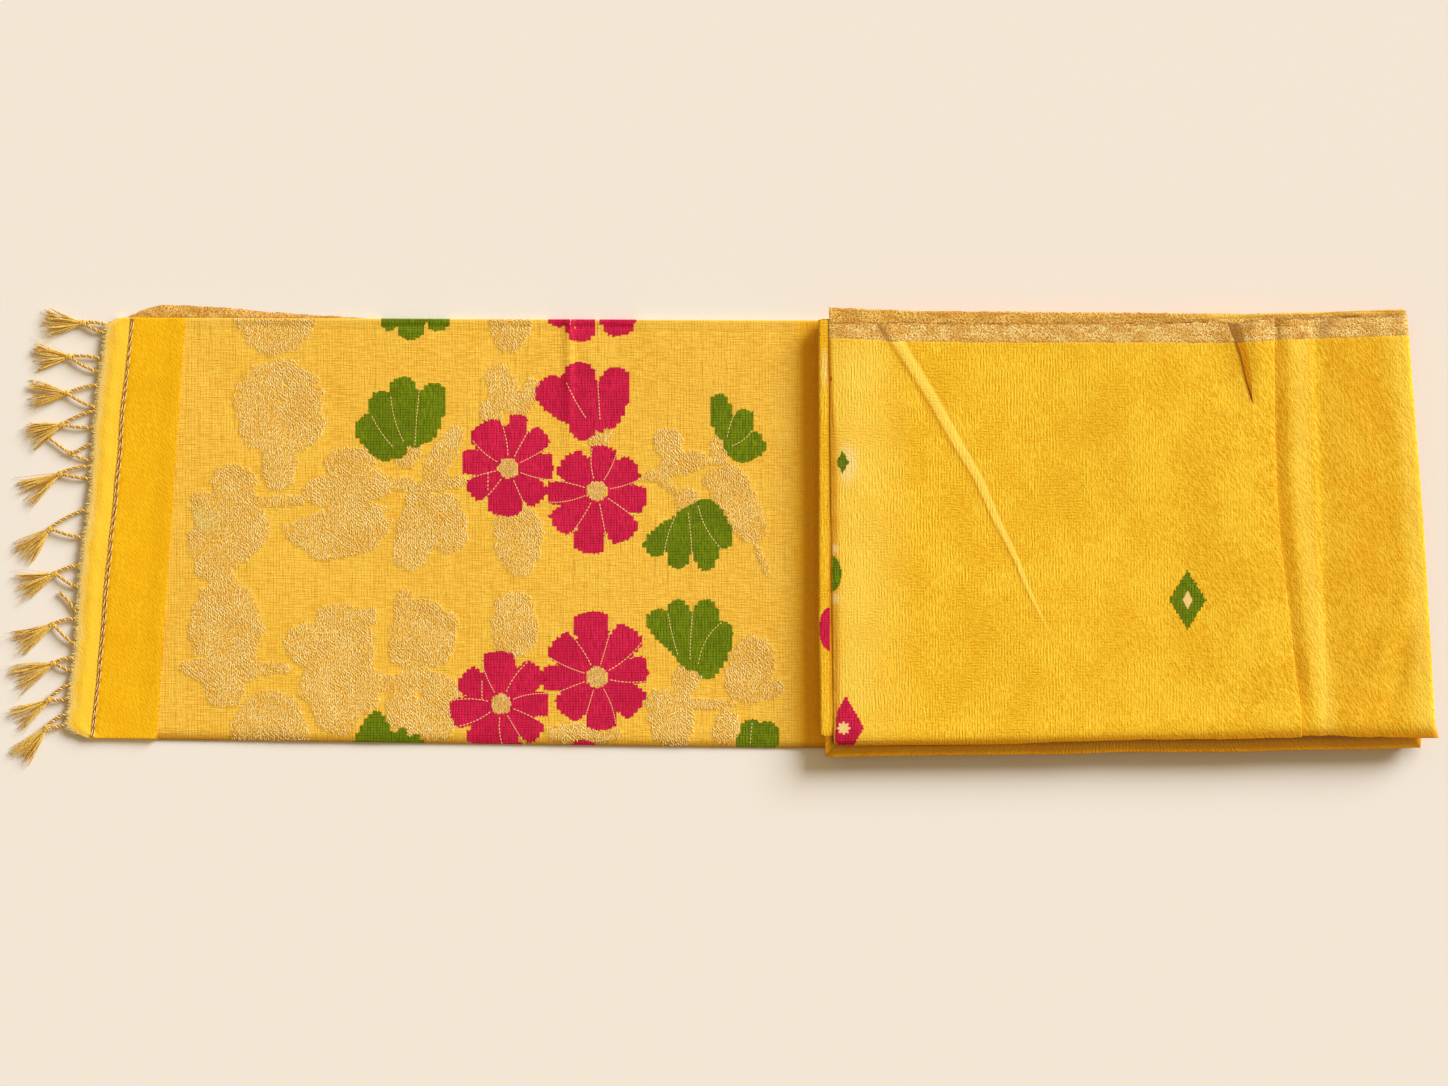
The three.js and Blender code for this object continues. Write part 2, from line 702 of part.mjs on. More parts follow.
const saree = new THREE.Group();
saree.add(
  piece("pallu_lower_plies", lowerPlies(), colours.folds),
  piece("pallu_net", palluNet(), colours.netGround),
  piece("pallu_end_band", endBand(), colours.satin),
  piece("pallu_selvedge", selvedgePeekWall(), colours.zari),
  piece("packet_folds", foldedLayers(), colours.folds),
  piece("body_face", bodyFace(), colours.body),
  piece("body_tail", bodyTail(), colours.body),
  piece("border_face", faceBorder(), colours.zari),
  piece("border_tail", tailBorder(), colours.zari),
  piece("border_under", underBorder(), colours.zari),
);
tassels.forEach((row, index) => {
  const name = `tassel_${String(index + 1).padStart(2, "0")}`;
  saree.add(piece(name, tassel(row), colours.tassel));
});

export default saree;
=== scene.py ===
import math

import bmesh
import bpy
import mathutils
import numpy as np
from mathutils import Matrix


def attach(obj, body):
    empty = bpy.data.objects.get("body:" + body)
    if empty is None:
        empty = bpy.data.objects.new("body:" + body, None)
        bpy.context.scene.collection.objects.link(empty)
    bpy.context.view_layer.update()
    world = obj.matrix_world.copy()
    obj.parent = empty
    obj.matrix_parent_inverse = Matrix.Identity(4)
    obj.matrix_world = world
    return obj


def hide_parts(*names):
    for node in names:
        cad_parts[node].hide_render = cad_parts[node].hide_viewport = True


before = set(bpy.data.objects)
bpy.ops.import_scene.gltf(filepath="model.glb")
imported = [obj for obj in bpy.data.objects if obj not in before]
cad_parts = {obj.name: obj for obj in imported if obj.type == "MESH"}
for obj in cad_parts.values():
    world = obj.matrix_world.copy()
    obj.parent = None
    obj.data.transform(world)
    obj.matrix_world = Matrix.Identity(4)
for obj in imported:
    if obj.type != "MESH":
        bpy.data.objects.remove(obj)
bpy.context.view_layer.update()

mm = 0.001  # the sizes below are in millimetres, in the frame of the solids
pixel = 2 / 3  # a pixel of the photograph on the cloth, in millimetres
turn = 2 * math.pi


# Small helpers for numbers
def smooth(value, low, high):
    share = np.clip((value - low) / (high - low), 0, 1)
    return share * share * (3 - 2 * share)


def hump(distance, halfWidth):
    return 1 - smooth(np.abs(distance), 0, halfWidth)


def bentLine(*points):  # a line through points given as (place, value)
    places, values = zip(*points)
    return lambda place: np.interp(place, places, values)


def onPhoto(across, down):  # a pixel of the 1448 x 1086 photograph as x and y on the cloth
    return (across - 723.5) * pixel, (535 - down) * pixel


def softNoise(x, y, size, seed):  # smooth random relief from -1 to 1, with lumps of the given size
    table = np.random.default_rng(seed).uniform(-1, 1, (61, 61))
    gridX, gridY = np.broadcast_arrays(np.asarray(x) / size + 500, np.asarray(y) / size + 500)
    cellX, cellY = np.floor(gridX).astype(int), np.floor(gridY).astype(int)
    shareX, shareY = smooth(gridX - cellX, 0, 1), smooth(gridY - cellY, 0, 1)

    def corner(stepX, stepY):
        return table[(cellX + stepX) % 61, (cellY + stepY) % 61]

    near = corner(0, 0) * (1 - shareX) + corner(1, 0) * shareX
    far = corner(0, 1) * (1 - shareX) + corner(1, 1) * shareX
    return near * (1 - shareY) + far * shareY


# Node helpers
def addNode(tree, kind, sockets=None, **settings):
    made = tree.nodes.new("ShaderNode" + kind)
    for name, value in settings.items():
        setattr(made, name, value)
    for key, value in (sockets or {}).items():
        if isinstance(value, bpy.types.NodeSocket):
            tree.links.new(value, made.inputs[key])
        else:
            made.inputs[key].default_value = value
    return made


def addMath(tree, operation, first, second=0.0, clamp=False):
    made = addNode(tree, "Math", {0: first, 1: second}, operation=operation, use_clamp=clamp)
    return made.outputs[0]


def addRange(tree, value, low, high, toLow=0.0, toHigh=1.0):
    sockets = {"Value": value, "From Min": low, "From Max": high, "To Min": toLow, "To Max": toHigh}
    return addNode(tree, "MapRange", sockets).outputs["Result"]


def addMix(tree, share, first, second):
    made = addNode(tree, "Mix", data_type="RGBA")
    for socket, value in ((0, share), (6, first), (7, second)):
        if isinstance(value, bpy.types.NodeSocket):
            tree.links.new(value, made.inputs[socket])
        elif socket == 0:
            made.inputs[socket].default_value = value
        else:
            made.inputs[socket].default_value = (*value, 1)
    return made.outputs[2]


def addStretch(tree, place, sizeX, sizeY, turned=0.0):  # lumps of these sizes, then turned by degrees
    sockets = {"Vector": place, "Scale": (sizeX * mm, sizeY * mm, mm), "Rotation": (0, 0, math.radians(turned))}
    return addNode(tree, "Mapping", sockets, vector_type="TEXTURE").outputs[0]


def addNoise(tree, vector, detail=2.0, roughness=0.5):
    sockets = {"Vector": vector, "Scale": 1.0, "Detail": detail, "Roughness": roughness}
    return addNode(tree, "TexNoise", sockets, noise_dimensions="2D").outputs[0]


def newGroup(name, inputs, outputs):
    group = bpy.data.node_groups.new(name, "ShaderNodeTree")
    for label, kind, value in inputs:
        socket = group.interface.new_socket(label, in_out="INPUT", socket_type="NodeSocket" + kind)
        if value is not None:
            socket.default_value = value
    for label in outputs:
        group.interface.new_socket(label, in_out="OUTPUT", socket_type="NodeSocketFloat")
    start = group.nodes.new("NodeGroupInput")
    end = group.nodes.new("NodeGroupOutput")
    return group, start.outputs, end.inputs


def useGroup(tree, group, **sockets):
    made = tree.nodes.new("ShaderNodeGroup")
    made.node_tree = group
    for name, value in sockets.items():
        if isinstance(value, bpy.types.NodeSocket):
            tree.links.new(value, made.inputs[name])
        else:
            made.inputs[name].default_value = value
    return made.outputs


def newMaterial(name, roughness, metallic=0.0, specular=0.12):
    material = bpy.data.materials.new(name)
    material.use_nodes = True
    tree = material.node_tree
    shader = tree.nodes["Principled BSDF"]
    shader.inputs["Roughness"].default_value = roughness
    shader.inputs["Metallic"].default_value = metallic
    shader.inputs["Specular IOR Level"].default_value = specular
    clothPlace = addNode(tree, "UVMap", uv_map="flat").outputs[0]
    return material, tree, shader, clothPlace


def addBump(tree, shader, height, strength, distance):
    made = addNode(tree, "Bump", {"Height": height, "Strength": strength, "Distance": distance * mm})
    tree.links.new(made.outputs[0], shader.inputs["Normal"])


# Weave: slubby threads both ways, ribs at an even pitch that waver, and cloudy patches
def makeWeaveGroup():
    inputs = [
        ("Place", "Vector", None),
        ("Warp Size", "Float", 1.1),
        ("Weft Size", "Float", 1.1),
        ("Slub Length", "Float", 14.0),
        ("Pitch", "Float", 2.0),
    ]
    outputs = ["Warp", "Weft", "Ribs", "Picks", "Cloud"]
    group, given, result = newGroup("slubby weave", inputs, outputs)
    parts = addNode(group, "SeparateXYZ", {0: given["Place"]}).outputs
    waver = addNoise(group, addStretch(group, given["Place"], 5, 16), 2.0, 0.6)
    fade = addRange(group, addNoise(group, addStretch(group, given["Place"], 9, 12), 2.0), 0.35, 0.62, 0.15, 1.0)
    directions = (("Warp", "Warp Size", "Ribs", 1, 0), ("Weft", "Weft Size", "Picks", 0, 1))
    for name, size, rib, along, across in directions:
        fine = addMath(group, "DIVIDE", parts[across], addMath(group, "MULTIPLY", given[size], mm))
        long = addMath(group, "DIVIDE", parts[along], addMath(group, "MULTIPLY", given["Slub Length"], mm))
        place = addNode(group, "CombineXYZ", {0: fine, 1: long}).outputs[0]
        group.links.new(addNoise(group, place, 1.5, 0.6), result[name])
        steps = addMath(group, "DIVIDE", parts[across], addMath(group, "MULTIPLY", given["Pitch"], mm))
        phase = addMath(group, "MULTIPLY", addMath(group, "ADD", steps, waver), turn)
        wave = addMath(group, "MULTIPLY", addMath(group, "SINE", phase), fade)
        group.links.new(addRange(group, wave, -1, 1), result[rib])
    group.links.new(addNoise(group, addStretch(group, given["Place"], 30, 42), 3.0, 0.55), result["Cloud"])
    return group


# Net: thin dark lines at uneven spacings, broken along their length
def makeNetGroup():
    inputs = [("Place", "Vector", None), ("Spacing", "Float", 5.6), ("Width", "Float", 0.1), ("Break", "Float", 9.0),
              ("Uneven", "Float", 1.6)]
    group, given, result = newGroup("net lines", inputs, ["Line"])
    parts = addNode(group, "SeparateXYZ", {0: given["Place"]}).outputs
    shift = addNoise(group, addStretch(group, given["Place"], 11, 167), 1.0)
    pitch = addMath(group, "MULTIPLY", given["Spacing"], mm)
    steps = addMath(group, "ADD", addMath(group, "DIVIDE", parts[0], pitch),
                    addMath(group, "MULTIPLY", shift, given["Uneven"]))
    inside = addMath(group, "ABSOLUTE", addMath(group, "SUBTRACT", addMath(group, "FRACT", steps), 0.5))
    line = addRange(group, inside, given["Width"], addMath(group, "MULTIPLY", given["Width"], 0.35))
    along = addMath(group, "DIVIDE", parts[1], addMath(group, "MULTIPLY", given["Break"], mm))
    whole = addMath(group, "MULTIPLY", addMath(group, "FLOOR", steps), 7.31)
    brokenPlace = addNode(group, "CombineXYZ", {0: whole, 1: along}).outputs[0]
    broken = addRange(group, addNoise(group, brokenPlace, 2.0, 0.7), 0.36, 0.62, 0.2, 1.0)
    group.links.new(addMath(group, "MULTIPLY", line, broken, True), result["Line"])
    return group


weaveGroup = makeWeaveGroup()
netGroup = makeNetGroup()


# The even grid of the net, which shows through its motifs too
def addGrid(tree, place, pitchX=1.95):
    turnedPlace = addNode(tree, "VectorRotate", {"Vector": place, "Angle": math.radians(90)},
                          rotation_type="Z_AXIS").outputs[0]
    upright = useGroup(tree, netGroup, Place=place, Spacing=pitchX, Width=0.24, Break=4.0, Uneven=0.22)["Line"]
    level = useGroup(tree, netGroup, Place=turnedPlace, Spacing=1.75, Width=0.24, Break=14.0, Uneven=0.12)["Line"]
    return upright, level


def fromAttribute(tree, name):
    return addNode(tree, "Attribute", attribute_name=name).outputs["Fac"]


def makeNetMaterial():
    look = {"light": (0.95, 0.61, 0.078), "deep": (0.87, 0.47, 0.04), "line": (0.40, 0.16, 0.01),
            "gold": (0.96, 0.58, 0.09), "goldDeep": (0.60, 0.29, 0.02), "ghost": (0.60, 0.50, 0.12),
            "hem": (0.98, 0.62, 0.09), "shade": (0.44, 0.19, 0.007), "warm": (1.0, 0.51, 0.006)}
    material, tree, shader, place = newMaterial("sheer net ground", 0.6)
    weave = useGroup(tree, weaveGroup, Place=place, **{"Warp Size": 1.2, "Weft Size": 0.9, "Slub Length": 9.0})
    coarse = useGroup(tree, netGroup, Place=place, Spacing=7.8, Width=0.07, Break=16.0, Uneven=0.5)["Line"]
    upright, level = addGrid(tree, place)
    dots = addRange(tree, level, 0, 0.8, 0.3, 1.0)
    ground = addMix(tree, addRange(tree, weave["Weft"], 0.38, 0.62), look["deep"], look["light"])
    ground = addMix(tree, addRange(tree, weave["Cloud"], 0.4, 0.65, 0.0, 0.5), ground, look["light"])
    seen = addRange(tree, weave["Cloud"], 0.38, 0.6, 0.35, 0.95)
    lines = addMath(tree, "MAXIMUM", addMath(tree, "MULTIPLY", addMath(tree, "MULTIPLY", coarse, dots), seen),
                    addMath(tree, "MULTIPLY", level, 0.3))
    lines = addMath(tree, "MAXIMUM", lines, addMath(tree, "MULTIPLY", upright, 0.36))
    ground = addMix(tree, lines, ground, look["line"])
    brocadeMask = fromAttribute(tree, "brocade")
    loops = addNoise(tree, addStretch(tree, place, 0.9, 1.5), 2.0, 0.65)
    gold = addMix(tree, addRange(tree, loops, 0.36, 0.6), look["goldDeep"], look["gold"])
    ground = addMix(tree, fromAttribute(tree, "hem"), ground, look["hem"])
    # painted warm bounce light: the net turns a saturated orange in the packet's shadow, less on its lines
    warmGround = addMath(tree, "MULTIPLY", fromAttribute(tree, "warm"), addRange(tree, lines, 0, 0.4, 1, 0.4))
    ground = addMix(tree, warmGround, ground, look["warm"])
    ground = addMix(tree, brocadeMask, ground, gold)
    ground = addMix(tree, fromAttribute(tree, "ghost"), ground, look["ghost"])
    ground = addMix(tree, fromAttribute(tree, "shade"), ground, look["shade"])
    tree.links.new(ground, shader.inputs["Base Color"])
    threads = addMath(tree, "ADD", addMath(tree, "ADD", weave["Warp"], weave["Weft"]), lines)
    raised = addMath(tree, "MULTIPLY", addMath(tree, "MULTIPLY", loops, brocadeMask), 3.0)
    height = addMath(tree, "ADD", threads, raised)
    addBump(tree, shader, height, 0.6, 0.4)
    return material


def makeSatinMaterial():
    look = {"light": (0.95, 0.56, 0.012), "deep": (0.84, 0.42, 0.002), "margin": (0.96, 0.59, 0.04),
            "rim": (0.93, 0.71, 0.28), "seam": (0.42, 0.18, 0.005)}
    material, tree, shader, place = newMaterial("satin band", 0.42)
    twill = addNoise(tree, addStretch(tree, place, 0.85, 3.6, 38), 1.5, 0.6)
    weave = useGroup(tree, weaveGroup, Place=place, Pitch=1.5, **{"Warp Size": 0.8, "Slub Length": 12.0})
    texture = addMath(tree, "ADD", addMath(tree, "MULTIPLY", twill, 0.7),
                      addMath(tree, "MULTIPLY", weave["Warp"], 0.3))
    ground = addMix(tree, addRange(tree, texture, 0.38, 0.62), look["deep"], look["light"])
    ground = addMix(tree, addRange(tree, weave["Cloud"], 0.4, 0.65, 0.0, 0.4), ground, look["deep"])
    ground = addMix(tree, fromAttribute(tree, "margin"), ground, look["margin"])
    fibres = addRange(tree, addNoise(tree, addStretch(tree, place, 5, 0.7, 20), 2.0, 0.7), 0.35, 0.6, 0.35, 1.0)
    rim = addMath(tree, "MULTIPLY", fromAttribute(tree, "rim"), fibres)
    ground = addMix(tree, rim, ground, look["rim"])
    # a dashed dark line of painted shade along the band's edge beside the net
    dashes = addRange(tree, addNoise(tree, addStretch(tree, place, 9, 1.6), 1.0), 0.42, 0.56, 0.25, 0.95)
    seam = addMath(tree, "MULTIPLY", fromAttribute(tree, "seam"), dashes)
    tree.links.new(addMix(tree, seam, ground, look["seam"]), shader.inputs["Base Color"])
    addBump(tree, shader, texture, 0.7, 0.5)
    return material


def makeBodyMaterial(name, light, deep, shaded, bump):
    material, tree, shader, place = newMaterial(name, 0.55)
    weave = useGroup(tree, weaveGroup, Place=place, **{"Warp Size": 1.05, "Weft Size": 1.0, "Slub Length": 5.0})
    ripples = addNoise(tree, addStretch(tree, place, 1.7, 5.0, 30), 2.0, 0.6)
    grain = addNoise(tree, addStretch(tree, place, 1.15, 1.5), 2.0, 0.7)
    upright = addMath(tree, "ADD", addMath(tree, "MULTIPLY", weave["Ribs"], 0.3),
                      addMath(tree, "MULTIPLY", weave["Warp"], 0.7))
    crossed = addMath(tree, "ADD", addMath(tree, "MULTIPLY", weave["Picks"], 0.2),
                      addMath(tree, "MULTIPLY", weave["Weft"], 0.8))
    patches = addRange(tree, weave["Cloud"], 0.42, 0.68, 0.0, 0.8)
    straight = addNode(tree, "Mix", {0: patches, 2: upright, 3: crossed}, data_type="FLOAT").outputs[0]
    across = addNode(tree, "SeparateXYZ", {0: place}).outputs[0]
    strayed = addMath(tree, "ADD", across, addMath(tree, "MULTIPLY", weave["Cloud"], 0.16))
    rightward = addRange(tree, strayed, 0.27, 0.44, 0.0, 0.7)
    wrinkle = addNode(tree, "Mix", {0: rightward, 2: straight, 3: ripples}, data_type="FLOAT").outputs[0]
    wrinkle = addNode(tree, "Mix", {0: 0.33, 2: wrinkle, 3: grain}, data_type="FLOAT").outputs[0]
    ground = addMix(tree, addRange(tree, wrinkle, 0.40, 0.585), deep, light)
    ground = addMix(tree, addRange(tree, weave["Cloud"], 0.45, 0.68, 0.0, 0.35), ground, deep)
    ground = addMix(tree, addRange(tree, weave["Cloud"], 0.5, 0.34, 0.0, 0.3), ground, light)
    # painted highlight: the pale attribute lightens where the cloth faces the light
    ground = addMix(tree, fromAttribute(tree, "pale"), ground, (0.98, 0.70, 0.11))
    ground = addMix(tree, fromAttribute(tree, "shade"), ground, shaded)
    # painted shadow: a dark line beside the tuck and the overlap step
    ground = addMix(tree, fromAttribute(tree, "line"), ground, (0.22, 0.08, 0.003))
    haloed = addMix(tree, fromAttribute(tree, "halo"), ground, (0.92, 0.72, 0.32))
    tree.links.new(haloed, shader.inputs["Base Color"])
    addBump(tree, shader, wrinkle, bump, 0.7)
    return material


def makeZariMaterial(name, light, mid, dark, curly):
    material, tree, shader, place = newMaterial(name, 0.45, metallic=0.1, specular=0.4)
    speck = addNoise(tree, addStretch(tree, place, 0.95, 1.1, 40), 2.0, 0.7)
    swirl = addNoise(tree, addStretch(tree, place, 2.3, 2.0), 2.0, 0.6)
    patch = addNoise(tree, addStretch(tree, place, 15, 6), 2.0)
    offLine = addMath(tree, "ABSOLUTE", addMath(tree, "SUBTRACT", swirl, 0.5))
    curls = addMath(tree, "MULTIPLY", addRange(tree, offLine, 0.075, 0.02), curly)
    ground = addMix(tree, addRange(tree, speck, 0.36, 0.56), dark, mid)
    ground = addMix(tree, fromAttribute(tree, "bright"), ground, (0.92, 0.55, 0.06))
    glint = addMath(tree, "MAXIMUM", addRange(tree, speck, 0.56, 0.66), curls)
    glint = addMath(tree, "MULTIPLY", glint, addRange(tree, patch, 0.36, 0.58, 0.35, 1.0))
    ground = addMix(tree, glint, ground, light)
    inShade = addMix(tree, fromAttribute(tree, "shade"), ground, (0.34, 0.13, 0.006))
    tree.links.new(inShade, shader.inputs["Base Color"])
    addBump(tree, shader, addMath(tree, "ADD", speck, swirl), 0.8, 0.45)
    return material


def makeInlayMaterial(name, light, deep, line):
    material, tree, shader, place = newMaterial(name, 0.65)
    weave = useGroup(tree, weaveGroup, Place=place, **{"Warp Size": 1.0, "Weft Size": 0.9, "Slub Length": 7.0})
    ground = addMix(tree, addRange(tree, weave["Warp"], 0.34, 0.62), deep, light)
    ground = addMix(tree, addRange(tree, weave["Cloud"], 0.4, 0.62, 0.0, 0.55), ground, deep)
    upright, level = addGrid(tree, place)
    lines = addMath(tree, "MULTIPLY", addMath(tree, "MAXIMUM", upright, level), 0.6)
    tree.links.new(addMix(tree, lines, ground, line), shader.inputs["Base Color"])
    addBump(tree, shader, addMath(tree, "SUBTRACT", weave["Warp"], lines), 0.7, 0.4)
    return material


def makeStitchMaterial(name, dark, light):
    material, tree, shader, place = newMaterial(name, 0.45, specular=0.4)
    tone = addNode(tree, "SeparateXYZ", {0: place}).outputs[0]
    tree.links.new(addMix(tree, tone, dark, light), shader.inputs["Base Color"])
    return material


def makeThreadMaterial(name, colour, roughness=0.5):
    material, tree, shader, _ = newMaterial(name, roughness)
    place = addNode(tree, "TexCoord").outputs["Object"]
    streak = addNoise(tree, addStretch(tree, place, 1.1, 0.8), 2.0, 0.6)
    deep = tuple(part * 0.6 for part in colour)
    tree.links.new(addMix(tree, addRange(tree, streak, 0.34, 0.6), deep, colour), shader.inputs["Base Color"])
    return material


print("stage: materials")
materials = {
    "net": makeNetMaterial(),
    "satin": makeSatinMaterial(),
    "body": makeBodyMaterial("crinkled silk and cotton", (0.95, 0.64, 0.042), (0.77, 0.374, 0.003),
                             (0.66, 0.25, 0.001), 1.1),
    # a darker, more orange copy of the body cloth: painted shade for the packet's folded layers and the plies under
    # the end piece
    "folds": makeBodyMaterial("folded silk and cotton", (0.84, 0.38, 0.005), (0.62, 0.24, 0.001),
                              (0.17, 0.06, 0.002), 0.8),
    "zari": makeZariMaterial("zari border", (1.0, 0.80, 0.33), (0.74, 0.36, 0.025), (0.42, 0.165, 0.008), 1.0),
    "darkZari": makeZariMaterial("zari border below", (1.0, 0.70, 0.19), (0.68, 0.31, 0.014),
                                 (0.36, 0.13, 0.004), 0.9),
    "red": makeInlayMaterial("crimson inlay thread", (0.74, 0.018, 0.088), (0.54, 0.006, 0.055),
                             (0.33, 0.006, 0.035)),
    "green": makeInlayMaterial("leaf green inlay thread", (0.20, 0.285, 0.002), (0.12, 0.185, 0.001),
                               (0.055, 0.075, 0.001)),
    "paleGold": makeStitchMaterial("pale gold thread", (0.66, 0.38, 0.08), (1.0, 0.70, 0.30)),
    "brocade": makeStitchMaterial("brocade thread", (0.84, 0.46, 0.06), (1.0, 0.90, 0.45)),
    "tassel": makeThreadMaterial("tassel thread", (1.0, 0.69, 0.17), 0.4),
    # a darker copy of the tassel thread: painted shade in the cords' twist and between the strands
    "tasselDeep": makeThreadMaterial("darker tassel thread", (0.74, 0.38, 0.045), 0.4),
    "redThread": makeThreadMaterial("red brown thread", (0.38, 0.12, 0.012)),
    "goldThread": makeThreadMaterial("light gold thread", (0.98, 0.68, 0.27), 0.4),
    "fray": makeThreadMaterial("frayed end", (1.0, 0.80, 0.34), 0.6),
}


# Mesh helpers
def finishPiece(name, bm, material):
    mesh = bpy.data.meshes.new(name)
    bm.to_mesh(mesh)
    bm.free()
    mesh.polygons.foreach_set("use_smooth", [True] * len(mesh.polygons))
    piece = bpy.data.objects.new(name, mesh)
    bpy.context.scene.collection.objects.link(piece)
    mesh.materials.append(material)
    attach(piece, "root")
    return piece


# A cloth made from a grid: place(column, row) gives x, y, z and the two places on the flat cloth
def clothFromGrid(name, columns, rows, place, material, wall=0.35, masks=None):
    bm = bmesh.new()
    flatLayer = bm.loops.layers.uv.new("flat")
    bmesh.ops.create_grid(bm, x_segments=columns, y_segments=rows, size=1, calc_uvs=False)
    across = np.array([vert.co[:2] for vert in bm.verts])
    low, high = across.min(axis=0), across.max(axis=0)
    share = (across - low) / (high - low)
    column = np.rint(share[:, 0] * columns).astype(int)
    row = np.rint(share[:, 1] * rows).astype(int)
    x, y, z, flatX, flatY = place(column, row)
    for vert, px, py, pz in zip(bm.verts, x, y, z):
        vert.co = (px * mm, py * mm, pz * mm)
    for face in bm.faces:
        for loop in face.loops:
            loop[flatLayer].uv = (flatX[loop.vert.index] * mm, flatY[loop.vert.index] * mm)
    for label, values in (masks(flatX, flatY) if masks else {}).items():
        layer = bm.verts.layers.float.new(label)
        for vert, value in zip(bm.verts, values):
            vert[layer] = value
    piece = finishPiece(name, bm, material)
    if wall:
        solid = piece.modifiers.new("cloth thickness", "SOLIDIFY")
        solid.thickness = wall * mm
        solid.offset = -1
        piece.modifiers.new("normals by face size", "WEIGHTED_NORMAL")  # keeps the cut edges from glowing
    return piece


# The section of a folded edge, from the flat out round each ply and back under, as distance along
# the cloth, distance in from the edge and height
def foldedEdge(top, bottom, plies, radius, tuckUnder, steps=7):
    half = (top - bottom) / plies / 2
    points = []
    for ply in range(plies):
        middle = top - half * (2 * ply + 1)
        for angle in np.radians(np.linspace(90, -90, steps)):
            points.append((radius * (1 - math.cos(angle)), middle + half * math.sin(angle)))
    points.append((tuckUnder, bottom))
    inset, height = np.array(points).T
    along = np.concatenate([[0], np.cumsum(np.hypot(np.diff(inset), np.diff(height)))])
    return {"along": along, "inset": inset, "height": height, "radius": radius, "top": top}


# Rows across a cloth that folds under at both edges: how far each is from front to back, its step
# in from the edge, its height, and how far round the fold it is
def rowsAcross(fold, flatRows, backFold=None):
    backFold = backFold or fold
    shares = np.linspace(0, 1, flatRows)
    front, back = slice(None, 0, -1), slice(1, None)
    share = np.concatenate([fold["inset"][front] * 0, shares, backFold["inset"][back] * 0 + 1])
    middle = fold["radius"] * (1 - shares) - backFold["radius"] * shares
    step = np.concatenate([fold["inset"][front], middle, -backFold["inset"][back]])
    rise = np.concatenate([fold["height"][front], shares * 0 + fold["top"], backFold["height"][back]])
    past = np.concatenate([-fold["along"][front], shares * 0, backFold["along"][back]])
    rest = np.concatenate([fold["inset"][front] * 0 + fold["radius"], middle,
                           backFold["inset"][back] * 0 - backFold["radius"]])
    return {"share": share, "step": step, "rise": rise, "past": past, "rest": rest, "count": len(share) - 1}


# Motifs of the end piece. A lobe is a rounded leaf or petal: its middle on the photograph, length,
# width and direction in pixels and degrees, and how much narrower it gets that way
def lobeDepth(x, y, lobe, roundness=2.4):
    across, down, length, width, direction, point = (*lobe, 0.0, 0.0)[:6]
    centreX, centreY = onPhoto(across, down)
    angle = math.radians(direction)
    along = ((x - centreX) * math.cos(angle) + (y - centreY) * math.sin(angle)) / (length * pixel / 2)
    beside = (y - centreY) * math.cos(angle) - (x - centreX) * math.sin(angle)
    halfWidth = width * pixel / 2 * (1 - 0.6 * point * np.clip(along, -1, 1))
    return 1 - np.abs(along) ** roundness - np.abs(beside / halfWidth) ** roundness


# Whole flowers: each petal has a first angle, a last angle and a length in pixels
flowers = [
    {"at": (508.6, 468.3), "core": 10.0, "petals": [(63, 93, 55), (26, 63, 51), (-20, 26, 46), (-67, -20, 46),
     (-125, -67, 48), (-168, -125, 46), (150, 192, 48), (93, 150, 52)], "lines": [[(488, 472), (488, 491)]]},
    {"at": (597.1, 491.0), "core": 10.0, "petals": [(58, 105, 46), (10, 58, 47), (-34, 10, 50), (-79, -34, 57),
     (-118, -79, 63), (-159, -118, 55), (164, 201, 50), (105, 164, 46)], "lines": []},
    {"at": (597.1, 677.1), "core": 10.4, "petals": [(74, 117, 66), (30.5, 74, 60), (-11, 30.5, 52), (-61, -11, 53),
     (-106, -61, 53), (-160, -106, 50), (162, 200, 54), (117, 162, 56)], "lines": []},
    {"at": (501.0, 703.9), "core": 10.2, "petals": [(66, 119, 53), (21, 66, 53), (-21, 21, 48), (-60, -21, 50),
     (-95, -60, 50), (-144, -95, 50), (168, 216, 51), (119, 168, 48)], "lines": [[(482, 680), (482, 700)]]},
]
